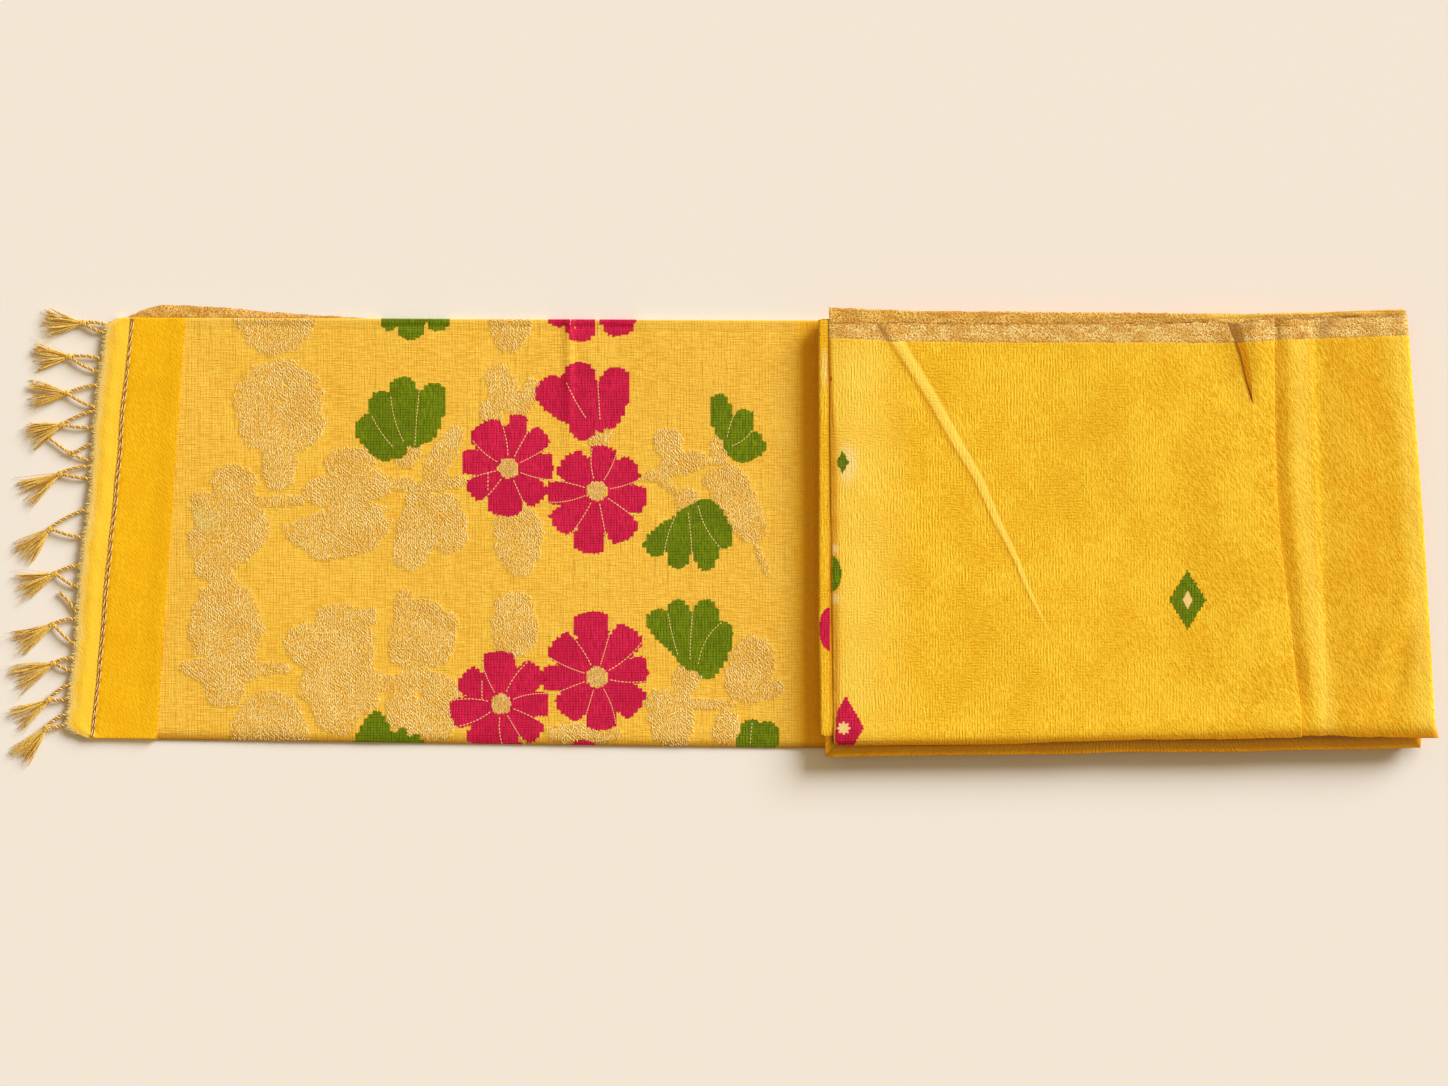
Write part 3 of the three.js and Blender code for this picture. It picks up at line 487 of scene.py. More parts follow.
# Part flowers and leaves, made of lobes, with the lines of stitches between them
redFans = [
    {"lobes": [(563, 402, 60, 34, 138, -0.3), (582, 398, 72, 35, 98, -0.2), (613, 398, 62, 31, 80, -0.3),
               (581, 424, 34, 24, 115), (600, 416, 34, 12, 95)],
     "lines": [[(597, 368), (600, 420)], [(566, 382), (576, 402), (586, 418)]]},
    {"lobes": [(560, 312, 30, 24, -110), (581, 316, 52, 32, -90), (617, 314, 44, 36, -75)],
     "lines": [[(571, 318), (570, 326)], [(599, 318), (598, 336)]]},
    {"lobes": [(583, 754, 28, 28, 90)], "lines": []},
]
leafFans = [
    {"lobes": [(378, 438, 52, 32, 128, -0.2), (389, 424, 68, 28, 108, -0.2), (405, 411, 68, 30, 94, -0.2),
               (430, 413, 60, 28, 78, -0.2), (396, 443, 32, 20, 105), (416, 434, 28, 17, 80)],
     "lines": [[(393, 447), (381, 432), (372, 416)], [(404, 442), (395, 420), (391, 396)],
               [(415, 446), (417, 415), (420, 384)]]},
    {"lobes": [(390, 318, 26, 16, -90), (411, 310, 60, 32, -90), (438, 314, 34, 24, -90)], "lines": []},
    {"lobes": [(722, 417, 46, 22, 100), (740, 428, 40, 23, 65), (747, 447, 36, 28, 20), (737, 446, 24, 28, 40)],
     "lines": [[(727, 438), (731, 422), (737, 410)], [(731, 446), (743, 440), (752, 430)]]},
    {"lobes": [(664, 538, 44, 26, -140), (681, 540, 58, 26, -100), (704, 535, 70, 27, -85),
               (714, 524, 54, 28, -60), (702, 514, 32, 26, 70, 0.6), (690, 522, 36, 30, 40)],
     "lines": [[(676, 515), (668, 535), (664, 556)], [(688, 512), (691, 540), (692, 566)],
               [(698, 505), (706, 528), (722, 550)]]},
    {"lobes": [(668, 632, 52, 26, 130, -0.2), (684, 630, 62, 26, 105), (704, 632, 66, 28, 85),
               (716, 648, 56, 28, 68), (706, 662, 34, 30, -70, 0.6), (692, 650, 40, 36, -50)],
     "lines": [[(678, 655), (672, 634), (668, 613)], [(690, 660), (691, 630), (694, 603)],
               [(698, 665), (706, 640), (722, 622)]]},
    {"lobes": [(375, 742, 62, 42, 86, 0.9), (402, 746, 38, 22, 90, 0.9), (415, 748, 28, 22, 90, 0.7)], "lines": []},
    {"lobes": [(750, 738, 38, 24, 82), (766, 739, 36, 24, 82)], "lines": [[(752, 722), (750, 744)]]},
]
# Gold brocade leaves, stems and tendrils
brocadeLobes = [
    (276, 318, 76, 84, -90, 0.6), (279, 408, 92, 88, 90, -0.1), (308, 425, 40, 34, 60), (279, 463, 36, 56),
    (234, 484, 44, 40), (226, 512, 70, 46, 10), (229, 536, 84, 58, 35, 0.1), (214, 566, 30, 40, 90),
    (200, 498, 18, 14), (281, 501, 52, 12, 4), (350, 462, 52, 30, 5), (352, 488, 86, 36, 8, 0.1),
    (318, 490, 32, 22, 20), (338, 528, 106, 46, 188, 0.5), (345, 545, 72, 24, 12), (407, 452, 34, 28, 90, -0.3),
    (445, 452, 62, 24, 60, 0.2), (440, 484, 56, 14, 8), (404, 484, 26, 14), (420, 500, 30, 24),
    (445, 522, 60, 44, 100), (415, 535, 74, 40, 75), (510, 326, 56, 40, -90, 0.5), (503, 388, 52, 30, 110, 0.1),
    (526, 398, 44, 18, 60), (492, 412, 24, 24), (519, 540, 68, 48, -88, 0.25), (668, 443, 30, 28, 90),
    (676, 470, 74, 13, 14), (683, 462, 48, 22, 5), (719, 449, 28, 17, 95), (738, 503, 88, 40, -62, 0.3),
    (720, 480, 34, 26), (688, 502, 28, 26, 100, -0.3), (668, 485, 40, 8, -40), (226, 622, 84, 72, 90, 0.25),
    (222, 578, 22, 26, 90), (222, 670, 80, 26), (225, 690, 34, 40, 90), (190, 668, 20, 12), (268, 668, 50, 13),
    (270, 722, 62, 72, 90, 0.3), (342, 642, 76, 66, 90, 0.1), (308, 645, 44, 44), (325, 615, 18, 14, 90),
    (347, 612, 20, 16, 90), (370, 616, 18, 14, 90), (342, 688, 80, 56), (338, 712, 44, 50, -90, 0.4),
    (382, 682, 30, 18, -20), (422, 634, 72, 66, 90, 0.25), (405, 604, 30, 22, 90, 0.4), (447, 630, 40, 20, 80),
    (404, 712, 48, 36, 100, 0.1), (440, 708, 66, 40, 75), (420, 680, 60, 20), (515, 624, 64, 46, 92, 0.1),
    (750, 668, 68, 48, 80, 0.1), (772, 690, 26, 16, 30), (672, 718, 58, 46, -80, 0.2), (655, 697, 30, 14, 20),
    (690, 705, 90, 12, 2), (688, 676, 36, 28, 60, -0.2), (727, 728, 34, 26, 70), (584, 733, 76, 20),
    (599, 433, 32, 25, 85), (762, 560, 34, 7, -65),
]
brocade = {"pitchX": 1.4, "pitchY": 2.3, "length": 2.35, "width": 0.62, "raised": 0.36}
motifStep = 2.85  # the ends of the petals are stepped, a few threads at a time


def petalInside(flower, x, y):
    centreX, centreY = onPhoto(*flower["at"])
    radius = np.hypot(x - centreX, y - centreY)
    angle = np.degrees(np.arctan2(y - centreY, x - centreX))
    inside = np.zeros(len(x), bool)
    for first, last, length in flower["petals"]:
        place = (angle - first) % 360 / (last - first)
        across = np.abs(2 * place - 1)
        tip = length * pixel * (1 - 0.06 * across**2) * (1 - 0.22 * smooth(across, 0.66, 1))
        inside |= (place >= 0) & (place <= 1) & (radius < tip)
    return inside & (radius > flower["core"] * pixel)


def lobesInside(fan, x, y):
    return np.max([lobeDepth(x, y, lobe, 2.6) for lobe in fan["lobes"]], axis=0) > 0


def stepped(x):
    return x + 0.85 * ((np.floor(x / motifStep) + 0.5) * motifStep - x)


def brocadeDepth(x, y):
    depth = np.max([lobeDepth(x, y, lobe) for lobe in brocadeLobes], axis=0)
    return depth + 0.2 * softNoise(x, y, 4.5, 71) + 0.16 * softNoise(x, y, 2.1, 72)


# The end piece: four plies of one folded width, laid out flat
strip = {
    "frontLeft": -135.5,
    "frontRight": -142.0,
    "backLeft": 145.0,
    "backRight": 143.0,
    "slantFrom": -420.0,
    "slantTo": 63.0,
    "top": 3.5,
    "edgeRadius": 0.85,
    "tuckUnder": 7.0,
}
stripFold = foldedEdge(strip["top"], 0.06, 2, strip["edgeRadius"], strip["tuckUnder"])


def stripFront(x):
    return np.interp(x, [strip["slantFrom"], strip["slantTo"]], [strip["frontLeft"], strip["frontRight"]])


def stripBack(x):
    return np.interp(x, [strip["slantFrom"], strip["slantTo"]], [strip["backLeft"], strip["backRight"]])


def slanted(front, back):
    slope = (back - front) / (strip["backLeft"] - strip["frontLeft"])
    return lambda y: front + slope * (y - strip["frontLeft"])


fringeLine = slanted(-438.2, -411.4)
threadLine = slanted(-420.3, -393.9)
bandLine = slanted(-377.7, -358.5)

net = {
    "creaseX": -102.3,
    "creaseHeight": 1.2,
    "creaseHalfWidth": 5.0,
    "pressedInset": 5.2,
    "pressedDepth": 0.4,
    "cell": 1.8,
    "packetEdge": 76.0,
    "hiddenEnd": 452.0,
    "hiddenColumns": 12,
    "flatRows": 150,
    "overlap": 2.0,
    "start": -368.0,
    "straightFrom": -290.0,
    "frontDrop": 1.5,
    "frontWide": 8.0,
}


def netTop(x, y):
    wave = 0.25 * np.sin(x / 31 + y / 57) + 0.2 * np.sin(x / 83 - y / 29)
    crinkle = 0.16 * softNoise(x, y, 17, 3) + 0.07 * softNoise(x, y * 0.6, 6, 4)
    lean = (x - net["creaseX"]) * np.where(x < net["creaseX"], 0.8, 1.25)
    crease = net["creaseHeight"] * hump(lean, net["creaseHalfWidth"]) * smooth(y, 25, 120)
    pressed = net["pressedDepth"] * hump(stripBack(x) - net["pressedInset"] - y, 2.8)
    pressed = pressed + net["frontDrop"] * np.clip(1 - (y - stripFront(x)) / net["frontWide"], 0, 1) ** 2
    rolled = 0.35 * smooth(y, stripBack(x) - 5, stripBack(x) - 2)
    fades = smooth(net["packetEdge"] - x, 0, 20)
    pressed = pressed - 1.1 * smooth(x, 38, 66) * smooth(40 - y, -90, 20)  # rises a little beside the packet
    return strip["top"] + (wave + crinkle + crease) * fades - pressed + rolled


# A point of the flat cloth carried onto the end piece, also round its folded edges
def onStrip(x, flatY, lift):
    front = stripFront(x) + strip["edgeRadius"]
    back = stripBack(x) - strip["edgeRadius"]
    past = np.maximum(np.maximum(front - flatY, flatY - back), 0)
    inset = np.interp(past, stripFold["along"], stripFold["inset"])
    height = np.interp(past, stripFold["along"], stripFold["height"])
    outward = np.interp(past, stripFold["along"], np.gradient(stripFold["height"], stripFold["along"]))
    isFront = flatY < front
    y = np.clip(flatY, front, back)
    top = netTop(x, y)
    edge = np.where(isFront, stripFront(x) + inset, stripBack(x) - inset)
    y = np.where(past > 0, edge + np.where(isFront, outward, -outward) * lift, y)
    upward = np.where(past > 0, np.sqrt(np.clip(1 - outward**2, 0, 1)) * np.sign(1.6 - past), 1)
    return x, y, height * top / strip["top"] + upward * lift


def makeNetCloth():
    rows = rowsAcross(stripFold, net["flatRows"])
    denseEnd = net["packetEdge"]
    dense = np.arange(net["start"], denseEnd, net["cell"])
    columns = np.concatenate([dense, np.linspace(denseEnd, net["hiddenEnd"], net["hiddenColumns"])])
    slant = 1 - smooth(columns, net["start"], net["straightFrom"])

    def place(column, row):
        guess = rows["share"][row] * (strip["backLeft"] - strip["frontLeft"]) + strip["frontLeft"]
        x = columns[column] + slant[column] * (bandLine(guess) - net["overlap"] - net["start"])
        front, back, share = stripFront(x), stripBack(x), rows["share"][row]
        edge = front * (1 - share) + back * share
        y = edge + rows["step"][row]
        flatY = edge + rows["rest"][row] + rows["past"][row]
        z = rows["rise"][row] * netTop(x, np.clip(y, front + 1, back - 1)) / strip["top"]
        return x, y, np.maximum(z, 0.05), x, flatY

    def masks(flatX, flatY):
        green = lobeDepth(flatX, flatY, (205, 520, 26, 30, 20), 2)
        inward = stripBack(flatX) - flatY
        hem = (1 - smooth(inward, 4.5, 6.0)) * (0.5 + 0.2 * softNoise(flatX, flatY, 6, 16))
        groove = 0.3 * hump(inward - 6.4, 1.6)
        fromFront = flatY - stripFront(flatX)
        front = 0.95 * (1 - smooth(fromFront, -0.3, 5.5))
        return {
            "brocade": smooth(brocadeDepth(flatX, flatY), -0.1, 0.12),
            "ghost": 0.4 * smooth(green, -0.2, 0.6),
            "hem": hem,
            "shade": np.maximum(groove, front),
            # painted warm bounce light in the packet's shadow on the net
            "warm": 0.85 * smooth(flatX, 44, 54),
        }

    return clothFromGrid("palluNetCloth", len(columns) - 1, rows["count"], place, materials["net"],
                         0.3, masks)


print("stage: end piece")
netCloth = makeNetCloth()
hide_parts("pallu_net")

band = {
    "thicker": 0.5,
    "rollWidth": 2.6,
    "rollDrop": 1.0,
    "puff": 0.45,
    "grooveDepth": 0.45,
    "frontCut": 17.0,
    "backCut": 8.0,
    "columns": 46,
    "flatRows": 190,
}


def fringeEdge(y):
    front = band["frontCut"] * np.clip((-124.5 - y) / 11.5, 0, 1.1) ** 2.2
    back = band["backCut"] * np.clip((y - 139) / 6, 0, 1.1) ** 1.3
    ragged = 0.5 * np.sin(y / 17) + 0.35 * softNoise(y, y * 0, 4, 8) + 0.25 * softNoise(y, y * 0, 1.6, 9)
    return np.minimum(fringeLine(y) + front + back + ragged, threadLine(y) - 1.2)


def bandTop(x, y):
    inward = x - fringeEdge(y)
    roll = np.sqrt(np.clip(1 - (1 - inward / band["rollWidth"]) ** 2, 0, 1))
    drop = np.where(inward < band["rollWidth"], band["rollDrop"] * (1 - roll), 0)
    puff = band["puff"] * hump(inward - 8, 6.5) * (1 + 0.5 * softNoise(x, y, 7, 12))
    groove = band["grooveDepth"] * hump(x - threadLine(y), 3.0)
    crinkle = 0.16 * softNoise(x, y, 13, 13) + 0.06 * softNoise(x * 0.5, y, 5, 14)
    step = 0.6 * smooth(x - bandLine(y), -14, -2)
    return strip["top"] + band["thicker"] + step - drop + puff - groove + crinkle + 0.2 * np.sin(y / 23 + x / 40)


def makeBandCloth():
    rows = rowsAcross(stripFold, band["flatRows"])
    shares = np.linspace(0, 1, band["columns"] - 2) ** 1.25
    shares = np.concatenate([shares[:-1], [0.986, 1.0, 1.0]])

    def place(column, row):
        share = rows["share"][row]
        guess = share * (strip["backLeft"] - strip["frontLeft"]) + strip["frontLeft"] + rows["step"][row]
        left, right = fringeEdge(guess), bandLine(guess)
        x = left + (right - left) * shares[column]
        edge = stripFront(x) * (1 - share) + stripBack(x) * share
        y = edge + rows["step"][row]
        top = bandTop(x, np.clip(y, strip["frontLeft"] + 1, strip["backLeft"] - 1))
        z = rows["rise"][row] * top / strip["top"]
        lastColumn = column == band["columns"] - 1
        z = np.where(lastColumn, np.maximum(z - band["thicker"] - 1.0, 0.05), np.maximum(z, 0.05))
        return x, y, z, x, edge + rows["rest"][row] + rows["past"][row]

    def masks(flatX, flatY):
        inward = flatX - fringeEdge(flatY)
        # the third mask paints shade along the band's last millimetre before the net
        return {"margin": 1 - smooth(flatX - threadLine(flatY), -1.5, 0.5),
                "rim": 0.9 * (1 - smooth(inward, 0.5, 6.5 + 2.5 * softNoise(flatX, flatY, 5, 15))),
                "seam": smooth(flatX - bandLine(flatY), -0.9, -0.1)}

    return clothFromGrid("palluEndBand", len(shares) - 1, rows["count"], place, materials["satin"],
                         0.35, masks)


bandCloth = makeBandCloth()
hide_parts("pallu_end_band")


# The plies hidden under the end piece
hiddenPlies = {"left": 16.0, "right": 448.0, "inset": 3.0, "top": 1.5, "thick": 1.4, "columns": 60, "rows": 12}

def makeLowerPlies():
    def place(column, row):
        share, side = column / hiddenPlies["columns"], row / hiddenPlies["rows"]
        left = fringeLine(side * 280 - 138) + hiddenPlies["left"]  # in from the fringed edge
        x = left + (hiddenPlies["right"] - left) * share
        inset = hiddenPlies["inset"]
        y = stripFront(x) + inset + side * (stripBack(x) - stripFront(x) - 2 * inset)
        return x, y, hiddenPlies["top"] + 0.1 * np.sin(x / 30), x, y

    return clothFromGrid("lowerPlies", hiddenPlies["columns"], hiddenPlies["rows"], place, materials["folds"],
                         hiddenPlies["thick"])

lowerPlies = makeLowerPlies()
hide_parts("pallu_lower_plies")

# The gold selvedge of a lower ply, which slips out behind the back edge
selvedge = {
    "out": bentLine((-402, 0.0), (-397, 0.2), (-393.7, 2.2), (-383, 6.8), (-372.3, 8.8), (-352, 8.1), (-329, 6.6),
                    (-302, 4.3), (-275.7, 2.3), (-252, 1.0), (-238, 0.2)),
    "from": -402.0,
    "to": -239.0,
    "columns": 120,
    "rows": 8,
}


def makeSelvedge():
    def place(column, row):
        x = selvedge["from"] + (selvedge["to"] - selvedge["from"]) * column / selvedge["columns"]
        out = selvedge["out"](x) + 0.35 * softNoise(x, x * 0, 3.5, 21)
        share = row / selvedge["rows"]
        y = stripBack(x) - 0.9 + (out + 0.9) * share
        z = 2.5 - 1.7 * share**1.5 + 0.2 * softNoise(x, y, 5, 22)
        return x, y, np.where(row == selvedge["rows"], 0.45, z), x, y

    def masks(flatX, flatY):
        fromEdge = flatY - stripBack(flatX)
        return {"shade": 0.25 + 0.35 * (1 - smooth(fromEdge, 0, 1.8)) + 0.15 * softNoise(flatX, flatY, 6, 23)}

    return clothFromGrid("slippedSelvedge", selvedge["columns"], selvedge["rows"], place, materials["darkZari"],
                         0.35, masks)


selvedgeCloth = makeSelvedge()
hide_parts("pallu_selvedge")

# The packet: layers folded on the end piece, each of three plies
layerSides = ("left", "leftFront", "frontLeft", "frontRight", "rightFront", "rightBack", "back")
packet = {
    "base": 3.8,
    "layer": 2.35,
    "pliesEach": 3,
    "perSide": 90,
    "middleX": 260.0,
    "halfWide": 150.0,
    "ledge": [2.5, 5.0, 8.0, 12.0],  # how far in the rows on its top lie
    "layers": [dict(zip(layerSides, places)) for places in (
        (66.5, 68.0, -143.5, -139.0, 460.0, 450.0, 143.6),
        (64.8, 67.0, -145.0, -140.5, 462.0, 448.5, 144.6),
        (67.2, 68.4, -142.8, -139.5, 459.5, 450.8, 143.9),
        (63.0, 67.2, -146.2, -141.0, 463.0, 449.6, 145.0),
        (68.3, 66.6, -148.4, -142.4, 465.0, 451.0, 144.2),
    )],
}
packet["top"] = packet["base"] + packet["layer"] * len(packet["layers"])


def layerOutline(layer, lap):  # lap runs once round from the front left corner
    side = np.floor(lap * 4).astype(int) % 4
    share = lap * 4 - np.floor(lap * 4)
    cornersX = np.array([layer["leftFront"], layer["rightFront"], layer["rightBack"], layer["left"] + 0.6])
    cornersY = np.array([layer["frontLeft"], layer["frontRight"], layer["back"], layer["back"] - 0.4])
    x = cornersX[side] * (1 - share) + cornersX[(side + 1) % 4] * share
    y = cornersY[side] * (1 - share) + cornersY[(side + 1) % 4] * share
    return x, y, side, share


def makePacketPlies():
    angles = np.radians([-75, -40, 0, 40, 75])
    sides = 4 * packet["perSide"]
    plyHeight = packet["layer"] / packet["pliesEach"]
    rows = [(layer, ply, angle) for layer in range(len(packet["layers"])) for ply in range(packet["pliesEach"])
            for angle in angles]
    ledge = packet["ledge"]
    rows += [(len(packet["layers"]) - 1, packet["pliesEach"] - 1, angles[-1])] * len(ledge)
    inwardOf = np.concatenate([np.zeros(len(rows) - len(ledge)), ledge])

    def place(column, row):
        lap = (column % sides) / sides
        x, y, z = np.zeros(len(lap)), np.zeros(len(lap)), np.zeros(len(lap))
        for index, (layer, ply, angle) in enumerate(rows):
            chosen = row == index
            outlineX, outlineY, side, share = layerOutline(packet["layers"][layer], lap[chosen])
            number = layer * packet["pliesEach"] + ply
            wander = 0.5 * softNoise(lap[chosen] * 1200, lap[chosen] * 0 + number * 13, 30, 31)
            inset = 0.45 * (1 - math.cos(angle)) + 0.55 + wander + 0.25 * (packet["pliesEach"] - 1 - ply)
            inX = np.select([side == 1, side == 3], [-1.0, 1.0], 0) * inset
            inY = np.select([side == 0, side == 2], [1.0, -1.0], 0) * inset
            nearCorner = np.minimum(share, 1 - share) * packet["perSide"]
            rounding = 0.9 * np.clip(1 - nearCorner / 2, 0, 1) ** 2
            middleX = packet["middleX"]
            shrink = 1 - inwardOf[index] / packet["halfWide"]
            x[chosen] = middleX + (outlineX + inX + rounding * np.sign(middleX - outlineX) - middleX) * shrink
            y[chosen] = (outlineY + inY - rounding * np.sign(outlineY)) * shrink
            z[chosen] = packet["base"] + plyHeight * (number + 0.5 + 0.5 * math.sin(angle))
        return x, y, z, lap * 1400, z * 3 + inwardOf[row]

    def masks(flatX, flatY):  # painted shade along the front, and a painted shadow under the edge of the top ply
        inward = flatY - packet["top"] * 3
        front = (flatX < 352) * np.interp(inward, [-3, -0.5, 2, 5.5, 8], [0.7, 0.25, 0.22, 0.4, 1.0])
        return {"shade": np.maximum(front, 0.8 * smooth(inward, 0, 3))}

    piece = clothFromGrid("packetPlies", sides, len(rows) - 1, place, materials["folds"], 0,
                          masks)
    bm = bmesh.new()
    bm.from_mesh(piece.data)
    bmesh.ops.remove_doubles(bm, verts=bm.verts, dist=0.02 * mm)
    bmesh.ops.holes_fill(bm, edges=[edge for edge in bm.edges if edge.is_boundary], sides=0)
    bmesh.ops.recalc_face_normals(bm, faces=bm.faces)
    bm.to_mesh(piece.data)
    bm.free()
    return piece


print("stage: packet")
packetPlies = makePacketPlies()
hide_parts("packet_folds")

# The top ply of the packet
topPly = {
    "base": packet["top"] + 0.3,
    "thick": 1.5,
    "roll": 3.6,
    "rollDrop": 0.4,
    "flatRows": 150,
}
topPly["level"] = topPly["base"] + topPly["thick"]
topFold = foldedEdge(topPly["level"], topPly["base"] + 0.2, 1, 0.75, 6.0)
frontEdge = bentLine((73, -140.2), (184, -139.4), (318, -137.3), (385, -135.4), (478, -134.9))
borderSeam = bentLine((70, 131.8), (95, 130.3), (112, 129.0), (184, 128.2), (344, 127.9), (368, 129.9),
                      (455, 132.9))
selvedgeEdge = bentLine((70, 140.6), (184, 140.0), (344, 141.2), (368, 143.4), (455, 146.0))
underEdge = bentLine((69.7, 151.3), (131, 148.9), (251, 148.1), (344, 147.1), (400, 148.4), (454, 150.2))
leftEdge = bentLine((-140, 73.2), (0, 71.6), (142, 69.7))
diagonalLine = bentLine((-142, 262), (-70, 219), (-36.7, 203), (-16.7, 195), (10, 181.7), (36.7, 170),
                        (63.3, 154.3), (90, 139.7), (128.7, 116), (142, 108))
diagonalWide = bentLine((-90, 0.9), (-45, 1.4), (10, 2.7), (60, 3.8), (140, 4.7))  # half the width of its band
tuckLine = bentLine((-142, 357), (82, 352.6), (90, 350.3), (103, 346.3), (117, 343), (127, 339.7), (137, 335.7),
                    (145, 333))
overlapLine = bentLine((-142, 385), (-110, 383), (-97, 381), (-43, 375), (-3, 370.3), (23, 368.3), (77, 366.6),
                       (142, 366.2))
ridgeLine = bentLine((-142, 401.5), (57, 396), (150, 392))
rightLine = bentLine((-136, 475.7), (-128, 473.4), (0, 466), (150, 454.4))
tuckWide = bentLine((84, 0.0), (93, 2.0), (105, 5.6), (127, 8.0), (142, 9.8))


def topWave(x, y):
    wave = 0.35 * (0.6 * np.sin(x / 47 + y / 71) + 0.4 * np.sin(x / 29 - y / 43))
    crinkle = 0.13 * softNoise(x, y * 0.7, 14, 41) + 0.05 * softNoise(x, y * 0.4, 4.5, 42)
    rightward = smooth(x, 240, 400)
    leaning = 0.12 * softNoise(x * 0.8 + y * 0.55, (y - x * 0.6) * 0.3, 5, 43) * rightward
    return wave + crinkle + leaning


def frontRoll(x, y):  # the top ply rounds down over its front edge, further along to the right
    wide = np.interp(x, [70, 200, 340, 480], [4.0, 5.5, 8.5, 10.0])
    inward = y - frontEdge(x)
    return 1.9 * (1 - smooth(inward, 0, wide)) ** 1.4 - 0.5 * hump(inward - wide - 4, wide + 4)


def faceHeight(x, y):
    across = (x - diagonalLine(y)) / diagonalWide(y)
    rise = smooth(across, -1.9, -0.6) * (1 - smooth(across, -0.2, 1.3))
    crease = 0.09 * diagonalWide(y) * smooth(y, -80, -20) * rise
    opening = smooth(y, 83, 92)
    fromTuck = x - tuckLine(y)
    wide = np.maximum(tuckWide(y), 0.6)
    inside = -1.05 * (1 - np.clip(fromTuck / wide, 0, 1)) - 0.45 * (1 - smooth(fromTuck, 0.2, 1.0))
    tuck = np.where(fromTuck <= 0, 0.7 * smooth(fromTuck, -12, -0.3), inside) * opening
    toOverlap = x - overlapLine(y)
    beyondTuck = np.clip((fromTuck - wide) / 5, 0, 1) * opening + (1 - opening)
    overlap = smooth(y, -134, -95) * beyondTuck * np.interp(toOverlap, [-60, -15, -3, 0], [0, 0.8, 0.6, 0.35])
    roll = topPly["rollDrop"] * (1 - smooth(x - leftEdge(y), 0, topPly["roll"])) ** 1.3
    puffy = -0.5 * (1 - smooth(x - leftEdge(y), 0, 16)) * (1 + 0.25 * softNoise(x * 0.2, y, 26, 46))
    soft = 0.3 * hump(x - 250 - y * 0.25, 60) * hump(y + 60, 90)
    broad = 0.5 * softNoise(x, y, 70, 47)
    folds = crease + tuck + overlap - roll
    return topPly["level"] + folds + puffy + soft + broad + topWave(x, y) - frontRoll(x, y)


def tailHeight(x, y):
    fromStep = x - overlapLine(y)
    valley = np.interp(fromStep, [-9, 0, 1.5, 9, 24], [-0.9, -0.95, -0.85, 0.2, 0.0]) * smooth(y, -134, -95)
    fromRidge = x - ridgeLine(y)
    bays = smooth(y, -128, -60)
    drop = np.interp(fromRidge, [-4, 0.5, 20, 40], [0, -0.6, 0.25, 0.4]) * (0.35 + 0.65 * bays)
    toEdge = rightLine(y) - x
    lift = 0.55 * (1 - smooth(toEdge, 6, 30))
    roll = 2.2 * (1 - np.sqrt(np.clip(1 - (1 - np.clip(toEdge, 0, 4) / 4) ** 2, 0, 1)))
    fold = 0.9 * hump(x - 440 - (y + 70) * 0.5, 12) * hump(y + 75, 55) * smooth(x, 410, 440)
    dip = 0.8 * hump(x - 448 - (y + 95) * 0.3, 9) * hump(y + 95, 40)
    broad = 0.4 * softNoise(x, y, 60, 48)
    return (topPly["level"] - 0.2 + valley + drop + lift - roll + fold - dip + broad + topWave(x, y)
            - frontRoll(x, y))


# Columns follow the fold lines. Each guide is a line and the number of columns up to the next one
def columnsAlong(guides):
    lines = [line for line, _ in guides]
    places = np.concatenate([[0], np.cumsum([count for _, count in guides[:-1]])])
    return lines, places, int(places[-1])


def xOnGuides(lines, places, column, y):
    guideX = np.array([line(y) for line in lines])
    index = np.clip(np.searchsorted(places, column, side="right") - 1, 0, len(places) - 2)
    share = (column - places[index]) / (places[index + 1] - places[index])
    pick = np.arange(len(column))
    return guideX[index, pick] * (1 - share) + guideX[index + 1, pick] * share


def shifted(line, distance):
    return lambda y: line(y) + distance


faceGuides = [
    (leftEdge, 10),
    (shifted(leftEdge, 7), 18),
    (lambda y: np.minimum(leftEdge(y) + 180, diagonalLine(y) - diagonalWide(y) * 1.7), 4),
    (lambda y: diagonalLine(y) - diagonalWide(y) * 0.85, 8),
    (lambda y: diagonalLine(y) + diagonalWide(y), 3),
    (lambda y: diagonalLine(y) + diagonalWide(y) * 1.8, 52),
    (shifted(tuckLine, -12), 8),
    (shifted(tuckLine, -0.3), 1),
    (tuckLine, 2),
    (shifted(tuckLine, 1.0), 5),
    (lambda y: tuckLine(y) + 1.0 + np.maximum(tuckWide(y) - 1, 1), 14),
    (shifted(overlapLine, -0.8), 2),
    (overlapLine, 0),
]
tailGuides = [
    (shifted(overlapLine, -9), 5),
    (shifted(overlapLine, 1.5), 8),
    (shifted(overlapLine, 8.5), 8),
    (shifted(ridgeLine, -4), 5),
    (shifted(ridgeLine, 0.5), 26),
    (shifted(rightLine, -9), 12),
    (rightLine, 0),
]


